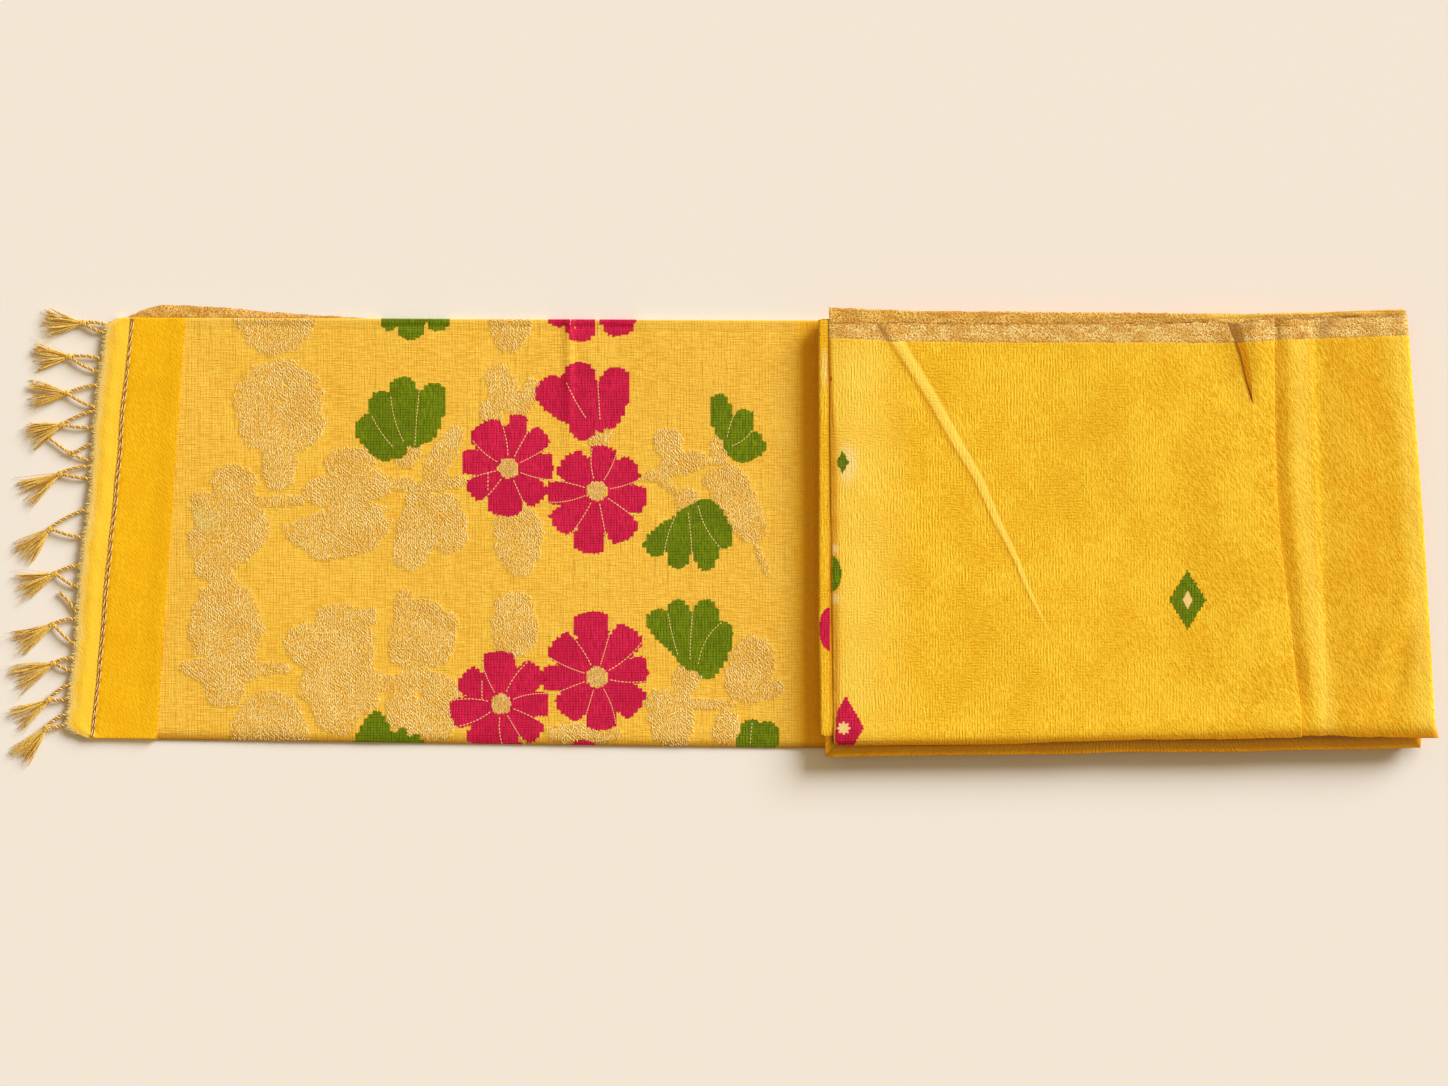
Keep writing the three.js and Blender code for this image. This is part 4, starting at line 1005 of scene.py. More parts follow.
# Part of the top ply between two edges. foldsUnder gives the front a folded edge
def topCloth(name, guides, height, front, back, flatRows, foldsUnder, material, lift=0.0, wall=0.4,
             leftDrop=0.0, rightDrop=0.0, frontDrop=0.0, masks=None):
    lines, places, columns = columnsAlong(guides)
    plain = {"radius": 0, "inset": np.zeros(1), "height": np.zeros(1) + topPly["level"], "along": np.zeros(1),
             "top": topPly["level"]}
    rows = rowsAcross(topFold if foldsUnder else plain, flatRows, plain)

    def place(column, row):
        guess = rows["share"][row] * 268 - 139
        x = xOnGuides(lines, places, column, guess)
        for _ in range(2):
            low, high, share = front(x), back(x), rows["share"][row]
            y = low * (1 - share) + high * share + rows["step"][row]
            x = xOnGuides(lines, places, column, y)
        drop = topPly["level"] - rows["rise"][row]
        z = height(x, np.maximum(y, low + 0.8)) - drop + lift
        z = np.where(column == 0, z - leftDrop, z)
        z = np.where(column == columns, z - rightDrop, z)
        z = np.where(row == 0, z - frontDrop, z)
        flatY = low * (1 - share) + high * share + rows["rest"][row] + rows["past"][row]
        return x, y, z, x, flatY

    return clothFromGrid(name, columns, rows["count"], place, material, wall, masks)


def bodyMasks(flatX, flatY):  # where the top ply gets painted highlight (pale), painted shade (shade), or a painted dark shadow line beside a fold (line)
    haloX, haloY = onPhoto(846, 464)
    wide = np.where(flatX > haloX, 9.0, 7.0)
    halo = 1 - smooth(np.hypot((flatX - haloX) / wide, (flatY - haloY) / 18), 0.35, 1.0)
    for across, down, size in ((834, 549, 5), (834, 598, 6)):  # pale weave beside the cut off motif
        spotX, spotY = onPhoto(across, down)
        halo = np.maximum(halo, 0.8 * (1 - smooth(np.hypot(flatX - spotX, flatY - spotY), 1, size)))
    inward = flatX - leftEdge(flatY)
    rollWide = np.interp(flatY, [-140, 60, 90, 142], [6.5, 7.0, 3.5, 1.8])
    fromTuck = flatX - tuckLine(flatY)
    inTuck = smooth(fromTuck, -0.4, 0.2) * (1 - smooth(fromTuck / np.maximum(tuckWide(flatY), 0.5), 0.75, 1.1))
    fromStep = flatX - overlapLine(flatY)
    valley = smooth(fromStep, -0.5, 0.3) * (1 - smooth(fromStep, 1, 13)) * smooth(flatY, -134, -100)
    front = 1 - smooth(flatY - frontEdge(flatX), -1, np.interp(flatX, [70, 340, 480], [6.0, 9.0, 11.0]))
    across = (flatX - diagonalLine(flatY)) / diagonalWide(flatY)
    length = smooth(flatY, -85, -30)
    creaseSides = (0.45 * hump(across + 1.35, 0.6) + 0.2 * hump(across - 1.3, 0.6)) * length
    leftRoll = (0.75 + 0.15 * softNoise(flatX, flatY, 9, 50)) * hump(inward - 0.35 * rollWide, 0.65 * rollWide)
    shade = np.maximum.reduce([leftRoll, 0.8 * inTuck * smooth(flatY, 83, 90), 0.45 * valley, creaseSides])
    creaseBand = smooth(across, -1.1, -0.7) * (1 - smooth(across, 0.75, 1.1)) * length
    toEdge = rightLine(flatY) - flatX
    # painted highlight on the left margin, the lit side of the diagonal crease, the rolled right edge and the band
    # right of the step
    pale = np.maximum.reduce([0.6 * (1 - smooth(inward, 14, 62)) * (0.8 + 0.3 * softNoise(flatX, flatY, 22, 49)),
                              0.75 * creaseBand, 0.4 * smooth(toEdge, 1, 4) * (1 - smooth(toEdge, 6, 18)),
                              0.4 * hump(fromStep - 17, 10)])
    underStep = 0.7 * smooth(fromStep, -0.6, 0.1) * (1 - smooth(fromStep, 0.5, 2.4)) * smooth(flatY, -132, -100)
    rightOfRidge = 0.22 * smooth(flatX - ridgeLine(flatY), -1, 8) * smooth(toEdge, 8, 20)
    # painted shadow lines beside the tuck's fold and the overlap step
    besideTuck = 0.8 * smooth(fromTuck, -0.7, 0.0) * (1 - smooth(fromTuck, 0.6, 1.8)) * smooth(flatY, 84, 92)
    besideStep = 0.5 * smooth(fromStep, -0.5, 0.0) * (1 - smooth(fromStep, 0.3, 1.5)) * smooth(flatY, -128, -60)
    return {"halo": 0.7 * halo, "shade": np.maximum.reduce([shade, front, rightOfRidge, underStep]), "pale": pale,
            "line": np.maximum(besideTuck, besideStep)}


bodyFace = topCloth("bodyFaceCloth", faceGuides, faceHeight, frontEdge, borderSeam, topPly["flatRows"], True,
                    materials["body"], leftDrop=0.3, rightDrop=0.5, masks=bodyMasks)
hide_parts("body_face")
bodyTail = topCloth("bodyTailCloth", tailGuides, tailHeight, frontEdge, borderSeam, 120, True, materials["body"],
                    rightDrop=1.5, masks=bodyMasks)
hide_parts("body_tail")


def raggedEdge(edge, seed, amount):
    return lambda x: (edge(x) + amount * softNoise(x, x * 0, 2.2, seed)
                      + 0.6 * amount * softNoise(x, x * 0, 9, seed + 1))


def borderMasks(flatX, flatY):  # painted shade in the tuck, along the ragged outer edge and beside the crease, the overlap and the ridge, with darker spots
    fromTuck = flatX - tuckLine(flatY)
    inTuck = smooth(fromTuck, -0.4, 0.2) * (1 - smooth(fromTuck / tuckWide(flatY), 0.8, 1.05))
    edge = hump(flatY - selvedgeEdge(flatX), 0.9 + 0.7 * softNoise(flatX, flatX * 0, 9, 58))
    spots = 0.35 * smooth(softNoise(flatX, flatY * 0.7, 7, 59), 0.0, 0.9) * smooth(flatX, 300, 350)
    across = (flatX - diagonalLine(flatY)) / diagonalWide(flatY)
    crease = 0.55 * hump(across + 1.3, 0.9)
    besideOverlap = 0.6 * hump(flatX - overlapLine(flatY) - 3, 3)
    besideRidge = 0.5 * hump(flatX - 400 - 0.2 * (flatY - 138), 9)
    return {"shade": np.maximum.reduce([0.75 * inTuck, 0.8 * edge, spots, crease, besideOverlap, besideRidge])}


overSeam = raggedEdge(lambda x: borderSeam(x) - 0.6, 57, 0.3)
faceBorder = topCloth("faceBorderCloth", faceGuides, faceHeight, overSeam, raggedEdge(selvedgeEdge, 51, 0.8), 14,
                      False, materials["zari"], lift=0.09, leftDrop=0.3, rightDrop=0.5,
                      frontDrop=0.15, masks=borderMasks)
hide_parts("border_face")
tailBorder = topCloth("tailBorderCloth", tailGuides, tailHeight, overSeam, raggedEdge(selvedgeEdge, 55, 0.8), 14,
                      False, materials["zari"], lift=0.09, rightDrop=1.5, frontDrop=0.15,
                      masks=borderMasks)
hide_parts("border_tail")


lowerBorder = {"left": 70.0, "length": 383.5, "tucked": 4.0, "columns": 260, "rows": 16}

def makeUnderBorder():
    def place(column, row):
        x = lowerBorder["left"] + lowerBorder["length"] * column / lowerBorder["columns"]
        inner = selvedgeEdge(x) - lowerBorder["tucked"]
        outer = underEdge(x) + 0.3 * softNoise(x, x * 0, 3, 61)
        share = row / lowerBorder["rows"]
        y = inner + (outer - inner) * share
        z = topPly["base"] + 0.7 + 0.35 * softNoise(x, y * 2, 12, 62) + 0.12 * np.sin(x / 7)
        z = z - 0.7 * hump(x - 402, 22)  # lower where the top ply dips beside its ridge
        return x, y, np.where(row == lowerBorder["rows"], z - 0.3, z), x, y

    def masks(flatX, flatY):  # a broken line of painted shade beside the top ply's edge, with loose dark wisps
        fromFace = flatY - selvedgeEdge(flatX)
        line = 1 - smooth(fromFace, 0.4, 1.6 + 0.9 * softNoise(flatX, flatX * 0, 5, 64))
        broken = 0.65 + 0.5 * softNoise(flatX, flatX * 0, 7, 66)
        wisps = 0.6 * hump(fromFace - 2.6 - 1.8 * softNoise(flatX, flatX * 0, 26, 65), 0.8)
        wisps = wisps * smooth(flatX, 150, 300)
        bright = smooth(flatX, 300, 330) * smooth(fromFace, 1.5, 3.0)
        return {"shade": np.maximum(0.85 * line * broken, wisps), "bright": 0.7 * bright}

    return clothFromGrid("underBorderCloth", lowerBorder["columns"], lowerBorder["rows"], place,
                         materials["darkZari"], 0.4, masks)

underBorder = makeUnderBorder()
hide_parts("border_under")


# Woven motifs: cells of inlay thread, one thread wide, wherever inside(x, y) is true
def addInlay(bm, flatLayer, centre, reach, inside, onCloth, cellX=0.95, cellY=0.75, ragged=0.35):
    low = [math.floor((centre[0] - reach) / cellX), math.floor((centre[1] - reach) / cellY)]
    count = [math.ceil(2 * reach / cellX), math.ceil(2 * reach / cellY)]
    made = bmesh.ops.create_grid(bm, x_segments=count[0], y_segments=count[1], size=1)["verts"]
    places = np.array([vert.co[:2] for vert in made])
    share = (places + 1) / 2
    x = (low[0] + share[:, 0] * count[0]) * cellX
    y = (low[1] + share[:, 1] * count[1]) * cellY
    for vert, px, py in zip(made, x, y):
        vert.co = (px, py, 0)
    faces = list({face for vert in made for face in vert.link_faces})
    middles = np.array([face.calc_center_median()[:2] for face in faces])
    jitter = np.random.default_rng(7).uniform(-1, 1, 4096)
    wander = ragged * (jitter[np.floor(middles[:, 0] / cellX).astype(int) % 4096]
                       + jitter[np.floor(middles[:, 0] / motifStep).astype(int) % 4096 - 900])
    kept = inside(middles[:, 0], middles[:, 1] + wander)
    gone = [face for face, keep in zip(faces, kept) if not keep]
    bmesh.ops.delete(bm, geom=gone, context="FACES")
    verts = list({vert for face, keep in zip(faces, kept) if keep for vert in face.verts})
    if not verts:
        return
    flat = np.array([vert.co[:2] for vert in verts])
    onX, onY, onZ = onCloth(flat[:, 0], flat[:, 1])
    for vert, px, py, pz, spot in zip(verts, onX, onY, onZ, flat):
        for loop in vert.link_loops:
            loop[flatLayer].uv = (spot[0] * mm, spot[1] * mm)
        vert.co = (px * mm, py * mm, pz * mm)


# Raised stitches, each a plump grain of thread: middle x, y, angle, length, width, tone and bend
def addStitches(bm, flatLayer, stitches, onCloth, raised=0.18):
    x, y, angle, length, width, tone, bend = np.array(stitches).T
    count = len(x)
    made = bmesh.ops.create_grid(bm, x_segments=3 * count, y_segments=2, size=1)["verts"]
    places = np.array([vert.co[:2] for vert in made])
    column = np.rint((places[:, 0] + 1) / 2 * 3 * count).astype(int)
    row = np.rint(places[:, 1]).astype(int)
    whole = np.minimum(column // 3, count - 1)
    side = column - 3 * whole - 1
    share = 0.5 * (row * length[whole])
    aside = side * 0.5 * width[whole] * np.where(row == 0, 1, 0.5) + np.where(row == 0, bend[whole], 0)
    cosine, sine = np.cos(angle[whole]), np.sin(angle[whole])
    onX, onY, onZ = onCloth(x[whole] + cosine * share - sine * aside, y[whole] + sine * share + cosine * aside)
    height = onZ + np.where(side == 0, raised * np.where(row == 0, 1, 0.3), 0)
    between = [face for vert, at in zip(made, column) if at % 3 == 2 for face in vert.link_faces
               if max(corner.co.x for corner in face.verts) > vert.co.x + 1e-7]
    bmesh.ops.delete(bm, geom=list(set(between)), context="FACES_ONLY")
    for vert, px, py, pz, shade in zip(made, onX, onY, height, tone[whole]):
        vert.co = (px * mm, py * mm, pz * mm)
        for loop in vert.link_loops:
            loop[flatLayer].uv = (shade, 0)
    loose = [vert for vert in made if not vert.link_faces]
    bmesh.ops.delete(bm, geom=loose, context="VERTS")
    wires = [edge for edge in bm.edges if not edge.link_faces]
    bmesh.ops.delete(bm, geom=wires, context="EDGES")


def stitchesAlong(line, rng, pitch):  # a running stitch along a bent line of photograph pixels
    points = [np.array(onPhoto(*point)) for point in line]
    middle = 2 * points[1] - (points[0] + points[2]) / 2 if len(points) == 3 else (points[0] + points[-1]) / 2
    steps = max(int(np.linalg.norm(points[-1] - points[0]) / pitch), 2)
    share = (np.arange(steps) + 0.5) / steps
    path = (np.outer((1 - share) ** 2, points[0]) + np.outer(2 * share * (1 - share), middle)
            + np.outer(share**2, points[-1]))
    ahead = np.gradient(path, axis=0)
    angles = np.arctan2(ahead[:, 1], ahead[:, 0])
    return [(x, y, angle + rng.uniform(-0.12, 0.12), pitch * 0.74, 0.62, rng.uniform(0.55, 1), 0.0)
            for (x, y), angle in zip(path, angles)]


motifThreads = {"redFlowers": "red", "greenLeaves": "green"}

def makeMotifs():
    rng = np.random.default_rng(11)
    bms = {name: bmesh.new() for name in motifThreads}
    layers = {name: bm.loops.layers.uv.new("flat") for name, bm in bms.items()}
    stitches = []

    def onNet(x, y):
        return onStrip(x, y, 0.14)

    def addMotif(name, insideOf, motif, centre, reach):
        def inside(x, y):
            return insideOf(motif, stepped(x), y) & (y < stripBack(x) + 3.6) & (y > stripFront(x) - 3.6)

        addInlay(bms[name], layers[name], centre, reach, inside, onNet)
        for line in motif["lines"]:
            stitches.extend(stitchesAlong(line, rng, 2.2))

    for flower in flowers:
        addMotif("redFlowers", petalInside, flower, onPhoto(*flower["at"]), 48.0)
    for name, fans in (("redFlowers", redFans), ("greenLeaves", leafFans)):
        for fan in fans:
            middle = np.mean([lobe[:2] for lobe in fan["lobes"]], axis=0)
            addMotif(name, lobesInside, fan, onPhoto(*middle), 42.0)
    for flower in flowers:
        centreX, centreY = onPhoto(*flower["at"])
        for first, _, length in flower["petals"]:
            bend = math.radians(rng.uniform(-10, 10))
            near, far = flower["core"] + 2.5, length * 0.95
            points = []
            for out, turned in ((near, 0), ((near + far) / 2, bend * 0.3), (far, bend)):
                angle = math.radians(first) + turned
                points.append((flower["at"][0] + out * math.cos(angle), flower["at"][1] - out * math.sin(angle)))
            stitches += stitchesAlong(points, rng, rng.choice([1.6, 2.3]))
        radius = flower["core"] * pixel
        for spotX in np.arange(-radius, radius, 0.95):
            for spotY in np.arange(-radius, radius, 1.5):
                if math.hypot(spotX, spotY) < radius:
                    aside, lean = rng.uniform(-0.4, 0.4), rng.uniform(-0.5, 0.5)
                    tone, curve = rng.uniform(0, 1), rng.uniform(-0.2, 0.2)
                    stitches.append((centreX + spotX, centreY + spotY + aside, math.pi / 2 + lean, 1.8, 0.75,
                                     tone, curve))
    pieces = {name: finishPiece(name, bms[name], materials[thread])
              for name, thread in motifThreads.items()}
    bm = bmesh.new()
    flatLayer = bm.loops.layers.uv.new("flat")
    kept = [stitch for stitch in stitches if stripFront(stitch[0]) - 2.5 < stitch[1] < stripBack(stitch[0]) + 2.5]
    addStitches(bm, flatLayer, kept, lambda x, y: onStrip(x, y, 0.2), 0.22)
    pieces["petalStitches"] = finishPiece("petalStitches", bm, materials["paleGold"])
    return pieces

# The leaves' curved gold stitches, over the gold ground that the net's mask gives
def makeBrocade():
    rng = np.random.default_rng(17)
    columns = np.arange(-365, 58, brocade["pitchX"])
    rows = np.arange(-148, 151, brocade["pitchY"])
    x, y = (part.ravel() for part in np.meshgrid(columns, rows))
    odd = np.rint(x / brocade["pitchX"]).astype(int) % 2
    y = y + brocade["pitchY"] * odd * 0.5 + rng.uniform(-0.5, 0.5, len(y))
    x = x + rng.uniform(-0.28, 0.28, len(x))
    depth = brocadeDepth(x, y)
    onFlower = np.zeros(len(x), bool)
    for flower in flowers:
        centreX, centreY = onPhoto(*flower["at"])
        onFlower |= petalInside(flower, x, y) | (np.hypot(x - centreX, y - centreY) < flower["core"] * pixel)
    for fan in redFans + leafFans:
        onFlower |= lobesInside(fan, x, y)
    onCloth = (y < stripBack(x) + 2.5) & (y > stripFront(x) - 2.5)
    kept = (depth > 0.0) & ~onFlower & onCloth & (x > bandLine(y) + 3) & (rng.uniform(0, 1, len(x)) < 0.93)
    x, y, odd = x[kept], y[kept], odd[kept]
    count = len(x)
    lean = 0.9 * softNoise(x, y, 11, 73) + 0.3 * (odd * 2 - 1) + rng.uniform(-0.45, 0.45, count)
    length = brocade["length"] * rng.uniform(0.75, 1.15, count)
    width = brocade["width"] * rng.uniform(0.75, 1.15, count)
    tone = np.clip(0.62 + 0.3 * softNoise(x, y, 10, 74) + rng.uniform(-0.4, 0.4, count), 0, 1)
    bend = rng.uniform(0.1, 0.45, count) * np.sign(rng.uniform(-1, 1, count))
    stitches = np.column_stack([x, y, math.pi / 2 + lean, length, width, tone, bend])
    bm = bmesh.new()
    flatLayer = bm.loops.layers.uv.new("flat")
    addStitches(bm, flatLayer, stitches, lambda px, py: onStrip(px, py, 0.06), brocade["raised"])
    print("brocade stitches:", count)
    return finishPiece("brocadeLeaves", bm, materials["brocade"])


print("stage: motifs")
motifs = makeMotifs()
brocadePiece = makeBrocade()


# Small motifs on the packet
def onBody(x, y, lift=0.14):
    left = leftEdge(y)
    z = np.where(x < overlapLine(y), faceHeight(x, y), tailHeight(x, y)) + lift
    return np.maximum(x, left), y, z


# A fold between the packet and its top ply, which stands out a little on the left
outerFold = {"left": bentLine((-140, 64.6), (-60, 63.1), (80, 63.2), (145, 63.0)), "right": 77.0,
             "front": -133.6, "back": 143.2, "columns": 24, "rows": 110}


def outerFoldHeight(x, y):
    inward = x - outerFold["left"](y)
    rounding = 0.75 * (1 - smooth(inward, 0, 1.3)) ** 2 + 0.5 * (1 - smooth(y - outerFold["front"], 0, 1.5)) ** 2
    return packet["top"] + 0.5 - rounding + 0.1 * softNoise(x, y, 9, 63) + 0.12 * np.sin(inward / 1.9)


def makeOuterFold():
    def place(column, row):
        y = outerFold["front"] + (outerFold["back"] - outerFold["front"]) * row / outerFold["rows"]
        left = outerFold["left"](y)
        x = left + (outerFold["right"] - left) * (column / outerFold["columns"]) ** 1.3
        y = np.where(row == 0, y + 1.4 * np.clip(3 - (x - left), 0, 3) / 3, y)
        return x, y, outerFoldHeight(x, y), x, y

    def masks(flatX, flatY):
        spotX, spotY = onPhoto(824, 368)
        pale = 1 - smooth(np.hypot((flatX - spotX) / 2.6, (flatY - spotY) / 17), 0.4, 1.0)
        inward = flatX - outerFold["left"](flatY)
        fibres = 0.75 + 0.35 * softNoise(flatX, flatY * 0.06, 0.9, 66)
        return {"halo": 0.55 * pale * fibres, "shade": 0.1 + 0.6 * smooth(inward, 5, 8)}

    return clothFromGrid("outerFoldCloth", outerFold["columns"], outerFold["rows"], place, materials["body"],
                         0.35, masks)


outerFoldCloth = makeOuterFold()


def makeBodyMotifs():
    rng = np.random.default_rng(23)

    def diamond(halfWide, halfTall, spiky=0.0):
        def inside(across, up):
            reach = 1 + spiky * (np.floor(across / 1.6) % 2)
            return np.abs(across) / halfWide + np.abs(up) / halfTall < reach
        return inside

    def star(reach):
        def inside(across, up):
            return np.hypot(across, up) < reach * (0.84 + 0.16 * np.cos(8 * np.arctan2(up, across)))
        return inside

    def corner(across, up):  # the red diamond runs over the corner
        reach = 1 + 0.05 * (np.floor(up / 1.7) % 2)
        return (np.abs(across) / 17.5 + np.abs(up) / 31 < reach) & (up > -19.5) & (across > -10 + 0.08 * up)

    def cutOff(wide, tall, side):
        return lambda across, up: (np.hypot(across / wide, up / tall) < 1) & (across * side > 0)

    def onFold(x, y):
        return np.maximum(x, outerFold["left"](y) + 0.1), y, outerFoldHeight(x, y) + 0.1

    def heartOnBody(x, y):
        return onBody(x, y, 0.26)

    shapes = [
        ("greenDiamond", "green", (1186.1, 599.6), 20, diamond(18, 28.5, 0.07), onBody, 0.85),
        ("redDiamond", "red", (845.5, 727.0), 22, corner, onBody, 0.7),
        ("smallGreenDiamond", "green", (842.2, 462.2), 10, diamond(5.6, 10.5, 0.16), onBody, 0.55),
        ("cutOffGreen", "green", (829.5, 573.5), 15, cutOff(11.5, 18.5, 1), onBody, 0.7),
        ("cutOffRed", "red", (829.5, 628.5), 16, cutOff(10.5, 21.5, -1), onFold, 0.7),
        ("redSpot", "red", (829.8, 379.5), 4, cutOff(1.8, 2.4, 1), onBody, 0.5),
        ("greenDiamondHeart", "paleGold", (1186.1, 599.6), 8, diamond(5.0, 9.5), onBody, 0.6),
        ("redDiamondHeart", "paleGold", (843.2, 727.5), 7, star(6.9), onBody, 0.5),
    ]
    pieces = []
    for name, material, at, reach, inside, onCloth, cell in shapes:
        centreX, centreY = onPhoto(*at)
        bm = bmesh.new()
        flatLayer = bm.loops.layers.uv.new("flat")
        isHeart = material == "paleGold"
        lifted = heartOnBody if isHeart else onCloth

        def kept(x, y):
            onFace = (x > leftEdge(y) + 0.2) & (y > frontEdge(x) + 0.5) | (onCloth is onFold)
            return inside((x - centreX) / pixel, (y - centreY) / pixel) & onFace

        addInlay(bm, flatLayer, (centreX, centreY), reach, kept, lifted, cell, 0.75 * cell, 0.3 * cell)
        piece = finishPiece(name, bm, materials[material])
        if isHeart:
            for loop in piece.data.uv_layers["flat"].data:
                loop.uv = (rng.uniform(0.3, 1), 0)
        pieces.append(piece)
    return pieces


bodyMotifs = makeBodyMotifs()


# Threads: a curve for all the routes of one piece, made into a mesh
def threadPiece(name, routes, material):
    curve = bpy.data.curves.new(name, "CURVE")
    curve.dimensions = "3D"
    curve.bevel_depth = mm
    curve.bevel_resolution = 1
    curve.use_fill_caps = True
    for points, radius in routes:
        spline = curve.splines.new("POLY")
        spline.points.add(len(points) - 1)
        padded = np.column_stack([np.asarray(points) * mm, np.ones(len(points))])
        spline.points.foreach_set("co", padded.ravel())
        spline.points.foreach_set("radius", np.broadcast_to(radius, len(points)).astype(float))
    holder = bpy.data.objects.new(name + "Routes", curve)
    bpy.context.scene.collection.objects.link(holder)
    bpy.context.view_layer.update()
    mesh = bpy.data.meshes.new_from_object(holder.evaluated_get(bpy.context.evaluated_depsgraph_get()))
    bpy.data.objects.remove(holder)
    bm = bmesh.new()
    bm.from_mesh(mesh)
    bmesh.ops.recalc_face_normals(bm, faces=bm.faces)
    return finishPiece(name, bm, material)


# A two-ply cord wound round a path of points
def twistedCord(points, radius, pitch, phase=0.0, plies=2, lowest=0.15):
    points = np.asarray(points, float)
    ahead = np.gradient(points, axis=0)
    ahead /= np.linalg.norm(ahead, axis=1)[:, None]
    side = np.cross([0, 0, 1.0], ahead)
    side /= np.linalg.norm(side, axis=1)[:, None]
    up = np.cross(ahead, side)
    travelled = np.concatenate([[0], np.cumsum(np.linalg.norm(np.diff(points, axis=0), axis=1))])
    routes = []
    for ply in range(plies):
        angle = travelled / pitch * turn + phase + turn * ply / plies
        route = points + radius * (np.cos(angle)[:, None] * side + np.sin(angle)[:, None] * up)
        route[:, 2] = np.maximum(route[:, 2], lowest + radius * 0.6)
        routes.append(route)
    return routes


def spread(start, middle, end, count):  # points along a bent path
    share = np.linspace(0, 1, count)[:, None]
    start, middle, end = (np.asarray(point, float) for point in (start, middle, end))
    return start * (1 - share) ** 2 + 2 * middle * share * (1 - share) + end * share**2


# Each tassel's knot, the places of its two cords along the edge, and its fan's length, turn and width
tassels = [
    {"knot": (-427.1, 141.2), "roots": (139.6, 134.8), "tail": 26, "turn": 0, "spread": 23},
    {"knot": (-436.4, 118.8), "roots": (117.1, 108.1), "tail": 23, "turn": -1, "spread": 23},
    {"knot": (-437.8, 94.5), "roots": (100.1, 84.7), "tail": 25.5, "turn": 0, "spread": 23},
    {"knot": (-441.0, 73.3), "roots": (83.3, 72.0), "tail": 24, "turn": -20, "spread": 22},
    {"knot": (-442.4, 40.5), "roots": (46.0, 38.0), "tail": 28, "turn": -30, "spread": 21},
    {"knot": (-449.2, 3.5), "roots": (17.9, -1.6), "tail": 25.5, "turn": -42, "spread": 21},
    {"knot": (-445.8, -26.0), "roots": (-20.0, -35.3), "tail": 26, "turn": -23, "spread": 22},
    {"knot": (-447.5, -60.0), "roots": (-55.7, -73.6), "tail": 28, "turn": -29, "spread": 20},
    {"knot": (-446.8, -85.6), "roots": (-82.1, -90.4), "tail": 29, "turn": -23, "spread": 22},
    {"knot": (-450.0, -110.2), "roots": (-98.3, -107.6), "tail": 26, "turn": -31, "spread": 19},
    {"knot": (-451.7, -129.0), "roots": (-118.4, -124.7), "tail": 27, "turn": -47, "spread": 18},
]
tasselMake = {
    "strands": 38,
    "astray": 4,
    "strandRadius": 0.33,
    "darkEvery": 5,
    "cordRadius": 0.66,
    "cordPly": 0.62,
    "pitch": 4.2,
    "wraps": 4,
    "wrapRadius": 0.52,
    "knotHeight": 2.9,
    "rootHeight": 2.3,
}
# Loose cords beside the fourth and seventh tassels, as bent lines of photograph pixels
looseCords = [
    [(48, 437), (60, 446), (72, 455), (91, 461)],
    [(66, 452), (76, 452), (84, 447), (93, 443)],
    [(60, 592), (68, 600), (76, 612)],
]


def cordRoutes(path, phase):  # a lit ply and a darker ply, painted shade in the twist's groove
    light, dark = twistedCord(path, tasselMake["cordRadius"], tasselMake["pitch"], phase, lowest=0.3)
    return (light, tasselMake["cordPly"]), (dark, tasselMake["cordPly"] * 0.92)


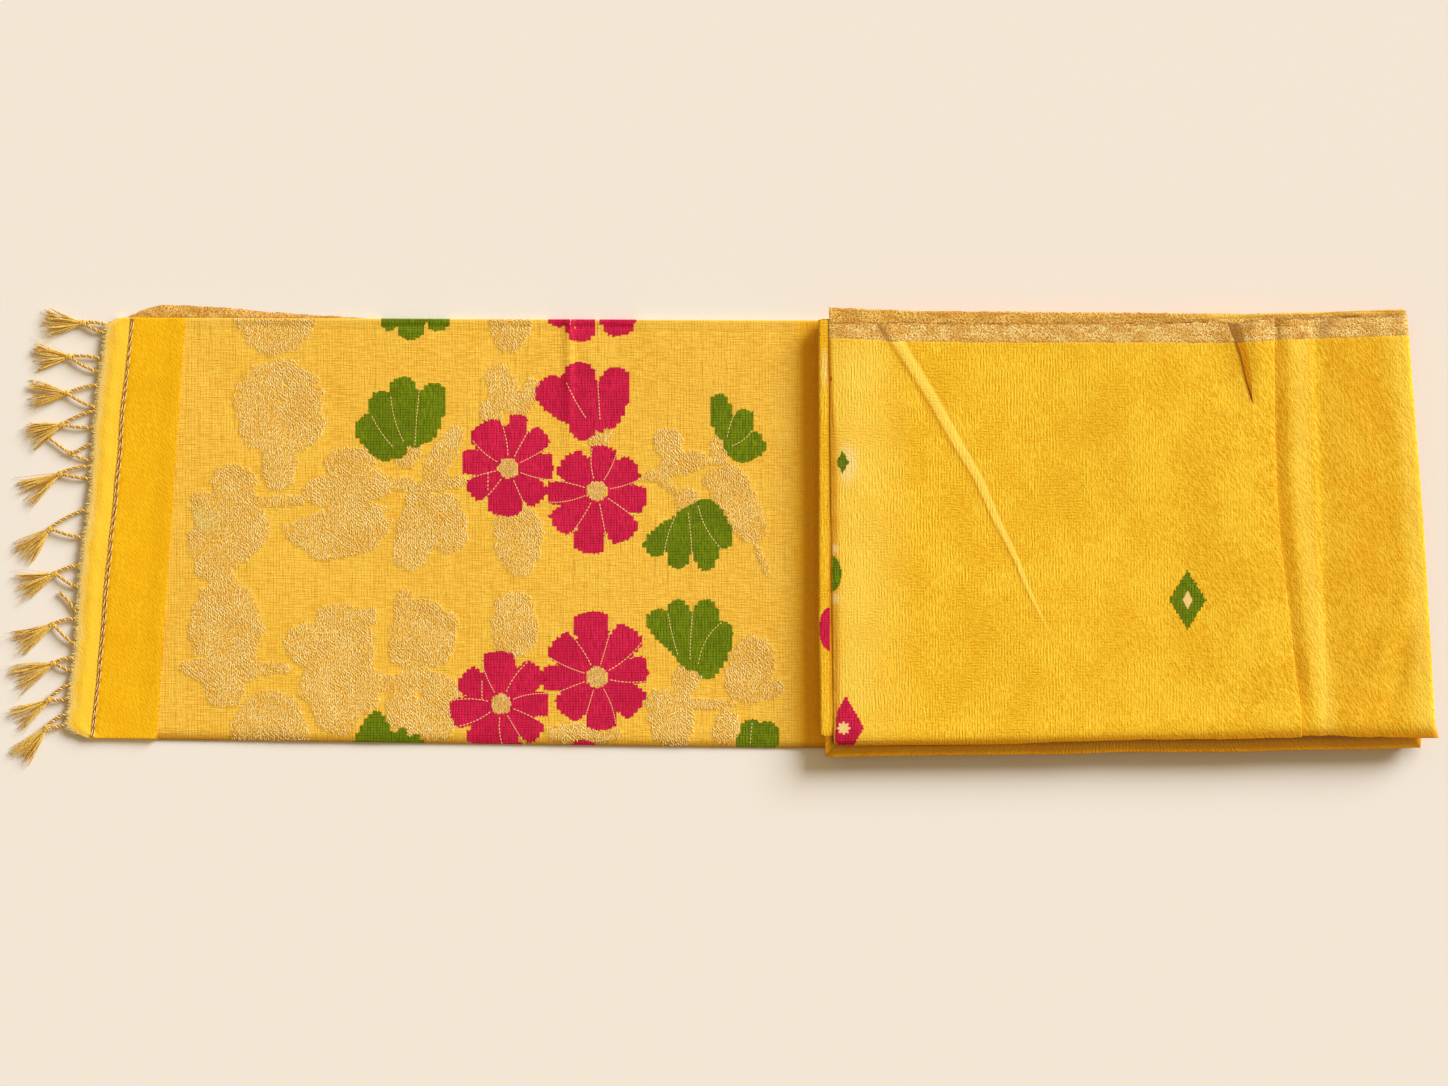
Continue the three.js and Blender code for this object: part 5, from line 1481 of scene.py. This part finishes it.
def makeTassel(number, row, darkRoutes):
    rng = np.random.default_rng(100 + number)
    knotX, knotY = row["knot"]
    heart = np.array([knotX, knotY, tasselMake["knotHeight"]])
    angle = math.radians(row["turn"])
    out = np.array([-math.cos(angle), math.sin(angle), 0])
    beside = np.array([math.sin(angle), math.cos(angle), 0])
    routes = []
    for side, rootY in zip((1, -1), row["roots"]):
        root = np.array([fringeEdge(np.array([rootY]))[0] + 1.5, rootY, tasselMake["rootHeight"]])
        seat = heart - out * 1.4 + beside * side * 0.5
        middle = (root + seat) / 2 + np.array([0, side * min(3.4, abs(rootY - knotY) * 0.15 + 1.6), 0.7])
        light, dark = cordRoutes(spread(root, middle, seat, 34), rng.uniform(0, turn))
        routes.append(light)
        darkRoutes.append(dark)
    for wrap in range(tasselMake["wraps"]):
        centre = heart + out * (wrap * 0.9 - 1.4)
        lap = np.linspace(0, turn * 0.98, 11)
        wide = 1.45 + 0.3 * math.sin(math.pi * (wrap + 0.5) / tasselMake["wraps"])
        ring = centre + np.outer(np.cos(lap), beside) * wide + np.outer(np.sin(lap), [0, 0, 1.1])
        ring += np.outer(lap / turn - 0.5, out) * 0.8
        # the third wrap takes the thread of painted shade
        (darkRoutes if wrap == 2 else routes).append((ring, tasselMake["wrapRadius"]))
    halfFan = math.degrees(math.atan2(row["spread"] / 2, row["tail"]))
    for strand in range(tasselMake["strands"] + tasselMake["astray"]):
        astray = strand >= tasselMake["strands"]  # a few fine threads fly off
        place = rng.uniform(-1, 1) * (1.4 if astray else 1)
        place = math.copysign(abs(place) ** 0.8, place)
        aimAngle = math.radians(row["turn"] + place * halfFan)
        aim = np.array([-math.cos(aimAngle), math.sin(aimAngle), 0])
        start = heart + out * 1.2 + beside * place * 1.1 + np.array([0, 0, rng.uniform(-0.8, 0.8)])
        end = heart + aim * row["tail"] * (rng.uniform(1.0, 1.2) if astray else rng.uniform(0.78, 1.05))
        end[2] = rng.uniform(0.4, 3.6)
        middle = (start + end) / 2 + beside * rng.uniform(-1.5, 1.5) + np.array([0, 0, rng.uniform(0.3, 1.4)])
        path = spread(start, middle, end, 9)
        wave = rng.uniform(0, turn) + np.linspace(0, rng.uniform(3, 8), 9)
        path += np.outer(np.sin(wave) * np.linspace(0, 0.5, 9), beside)
        radius = tasselMake["strandRadius"] * (0.45 if astray else 1)
        path[:, 2] = np.maximum(path[:, 2], 0.4)
        # every fifth strand takes the thread of painted shade, for the shade between the strands
        isDark = strand % tasselMake["darkEvery"] == 1
        (darkRoutes if isDark else routes).append((path, np.linspace(1.15, 0.7, 9) * radius))
    piece = threadPiece(f"tasselThreads{number:02d}", routes, materials["tassel"])
    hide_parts(f"tassel_{number:02d}")
    return piece


def makeLooseCords(darkRoutes):
    routes = []
    for number, line in enumerate(looseCords):
        corners = np.array([(*onPhoto(*point), 2.2) for point in line])
        share = np.linspace(0, len(corners) - 1, 26)
        path = np.column_stack([np.interp(share, range(len(corners)), corners[:, axis]) for axis in range(3)])
        path[1:-1] = (path[:-2] + 2 * path[1:-1] + path[2:]) / 4
        light, dark = cordRoutes(path, number)
        routes.append(light)
        darkRoutes.append(dark)
    return threadPiece("looseCords", routes, materials["tassel"])


print("stage: tassels")
darkRoutes = []
tasselPieces = [makeTassel(number, row, darkRoutes) for number, row in enumerate(tassels, 1)]
tasselPieces.append(makeLooseCords(darkRoutes))
tasselPieces.append(threadPiece("darkTasselThreads", darkRoutes, materials["tasselDeep"]))


# The twisted red and gold thread laid along the stitched line of the band
laidThread = {
    "front": -134.5,
    "back": 144.5,
    "steps": 760,
    "apart": 0.6,
    "above": 0.4,
    "windRadius": 0.28,
    "pitch": 7.0,
    "gold": 0.38,
    "red": 0.24,
}

def makeThreadLine():
    y = np.linspace(laidThread["front"], laidThread["back"], laidThread["steps"])
    middle = threadLine(y) + 0.35 * np.sin(y / 19) + 0.3 * softNoise(y, y * 0, 12, 81)
    apart = laidThread["apart"] + 0.25 * softNoise(y, y * 0, 18, 82)
    gold, red = [], []
    for side in (-1, 1):
        x = middle + side * apart
        z = bandTop(x, np.clip(y, laidThread["front"], laidThread["back"] - 0.5)) + laidThread["above"]
        path = np.column_stack([x, y, z])
        light, dark = twistedCord(path, laidThread["windRadius"], laidThread["pitch"] + 0.8 * side, side)
        gold.append((light, laidThread["gold"]))
        red.append((dark, laidThread["red"]))
    return [threadPiece("redLineThread", red, materials["redThread"]),
            threadPiece("goldLineThread", gold, materials["goldThread"])]

lineThreads = makeThreadLine()


# Frayed ends along the fringed edge
fray = {"front": -133, "back": 143, "every": 0.25, "shortest": 0.4, "longest": 2.4, "tucked": 1.2, "radius": 0.19}

def makeFray():
    rng = np.random.default_rng(91)
    routes = []
    for y in np.arange(fray["front"], fray["back"], fray["every"]):
        spotY = y + rng.uniform(-0.3, 0.3)
        edge = fringeEdge(np.array([spotY]))[0]
        length = rng.uniform(fray["shortest"], fray["longest"])
        top = bandTop(np.array([edge + 1.0]), np.array([spotY]))[0]
        start = np.array([edge + fray["tucked"], spotY, top - 0.05])
        hangs = rng.uniform(0.05, 0.3) if rng.random() < 0.7 else rng.uniform(0.6, 1.2)
        fall = hangs * (length + fray["tucked"])
        end = np.array([edge - length, spotY + rng.uniform(-1.1, 1.1), start[2] - fall])
        middle = (start + end) / 2 + np.array([0, rng.uniform(-0.5, 0.5), rng.uniform(0, 0.3)])
        routes.append((spread(start, middle, end, 4), fray["radius"]))
    return threadPiece("frayedEnds", routes, materials["fray"])

frayPiece = makeFray()


# Floor, light and camera
studio = {
    "floorColour": (0.842, 0.812, 0.782, 1),
    "skyColour": (1.0, 0.74, 0.40, 1),
    "skyStrength": 0.43,
    "sunColour": (0.955, 0.985, 1.0),
    "sunStrength": 4.45,
    "sunSoftness": 32,
    "sunTowards": (-0.70, -0.54, -0.47),
}
view = {"centreX": 0.3, "centreY": -5.3, "frameWide": 965.3, "lens": 200.0, "sensor": 36.0}

def makeStage():
    mesh = bpy.data.meshes.new("floor")
    bm = bmesh.new()
    bmesh.ops.create_grid(bm, x_segments=2, y_segments=2, size=4)
    bm.to_mesh(mesh)
    bm.free()
    floor = bpy.data.objects.new("floor", mesh)
    bpy.context.scene.collection.objects.link(floor)
    material = bpy.data.materials.new("pale floor")
    material.use_nodes = True
    shader = material.node_tree.nodes["Principled BSDF"]
    shader.inputs["Base Color"].default_value = studio["floorColour"]
    shader.inputs["Roughness"].default_value = 0.8
    shader.inputs["Specular IOR Level"].default_value = 0.2
    mesh.materials.append(material)

    world = bpy.data.worlds.new("studio")
    world.use_nodes = True
    background = world.node_tree.nodes["Background"]
    background.inputs[0].default_value = studio["skyColour"]
    background.inputs[1].default_value = studio["skyStrength"]
    bpy.context.scene.world = world

    light = bpy.data.lights.new("low soft light", "SUN")
    light.energy = studio["sunStrength"]
    light.angle = math.radians(studio["sunSoftness"])
    light.color = studio["sunColour"]
    lamp = bpy.data.objects.new("low soft light", light)
    bpy.context.scene.collection.objects.link(lamp)
    lamp.rotation_euler = mathutils.Vector(studio["sunTowards"]).to_track_quat("-Z", "Y").to_euler()

def makeCamera():
    bpy.context.scene.view_settings.view_transform = "Standard"
    data = bpy.data.cameras.new("camera")
    data.lens = view["lens"]
    data.sensor_width = view["sensor"]
    data.clip_end = 20
    camera = bpy.data.objects.new("camera", data)
    bpy.context.scene.collection.objects.link(camera)
    distance = view["frameWide"] * view["lens"] / view["sensor"]
    camera.location = (view["centreX"] * mm, view["centreY"] * mm, distance * mm)
    bpy.context.scene.camera = camera


print("stage: floor, light and camera")
makeStage()
makeCamera()
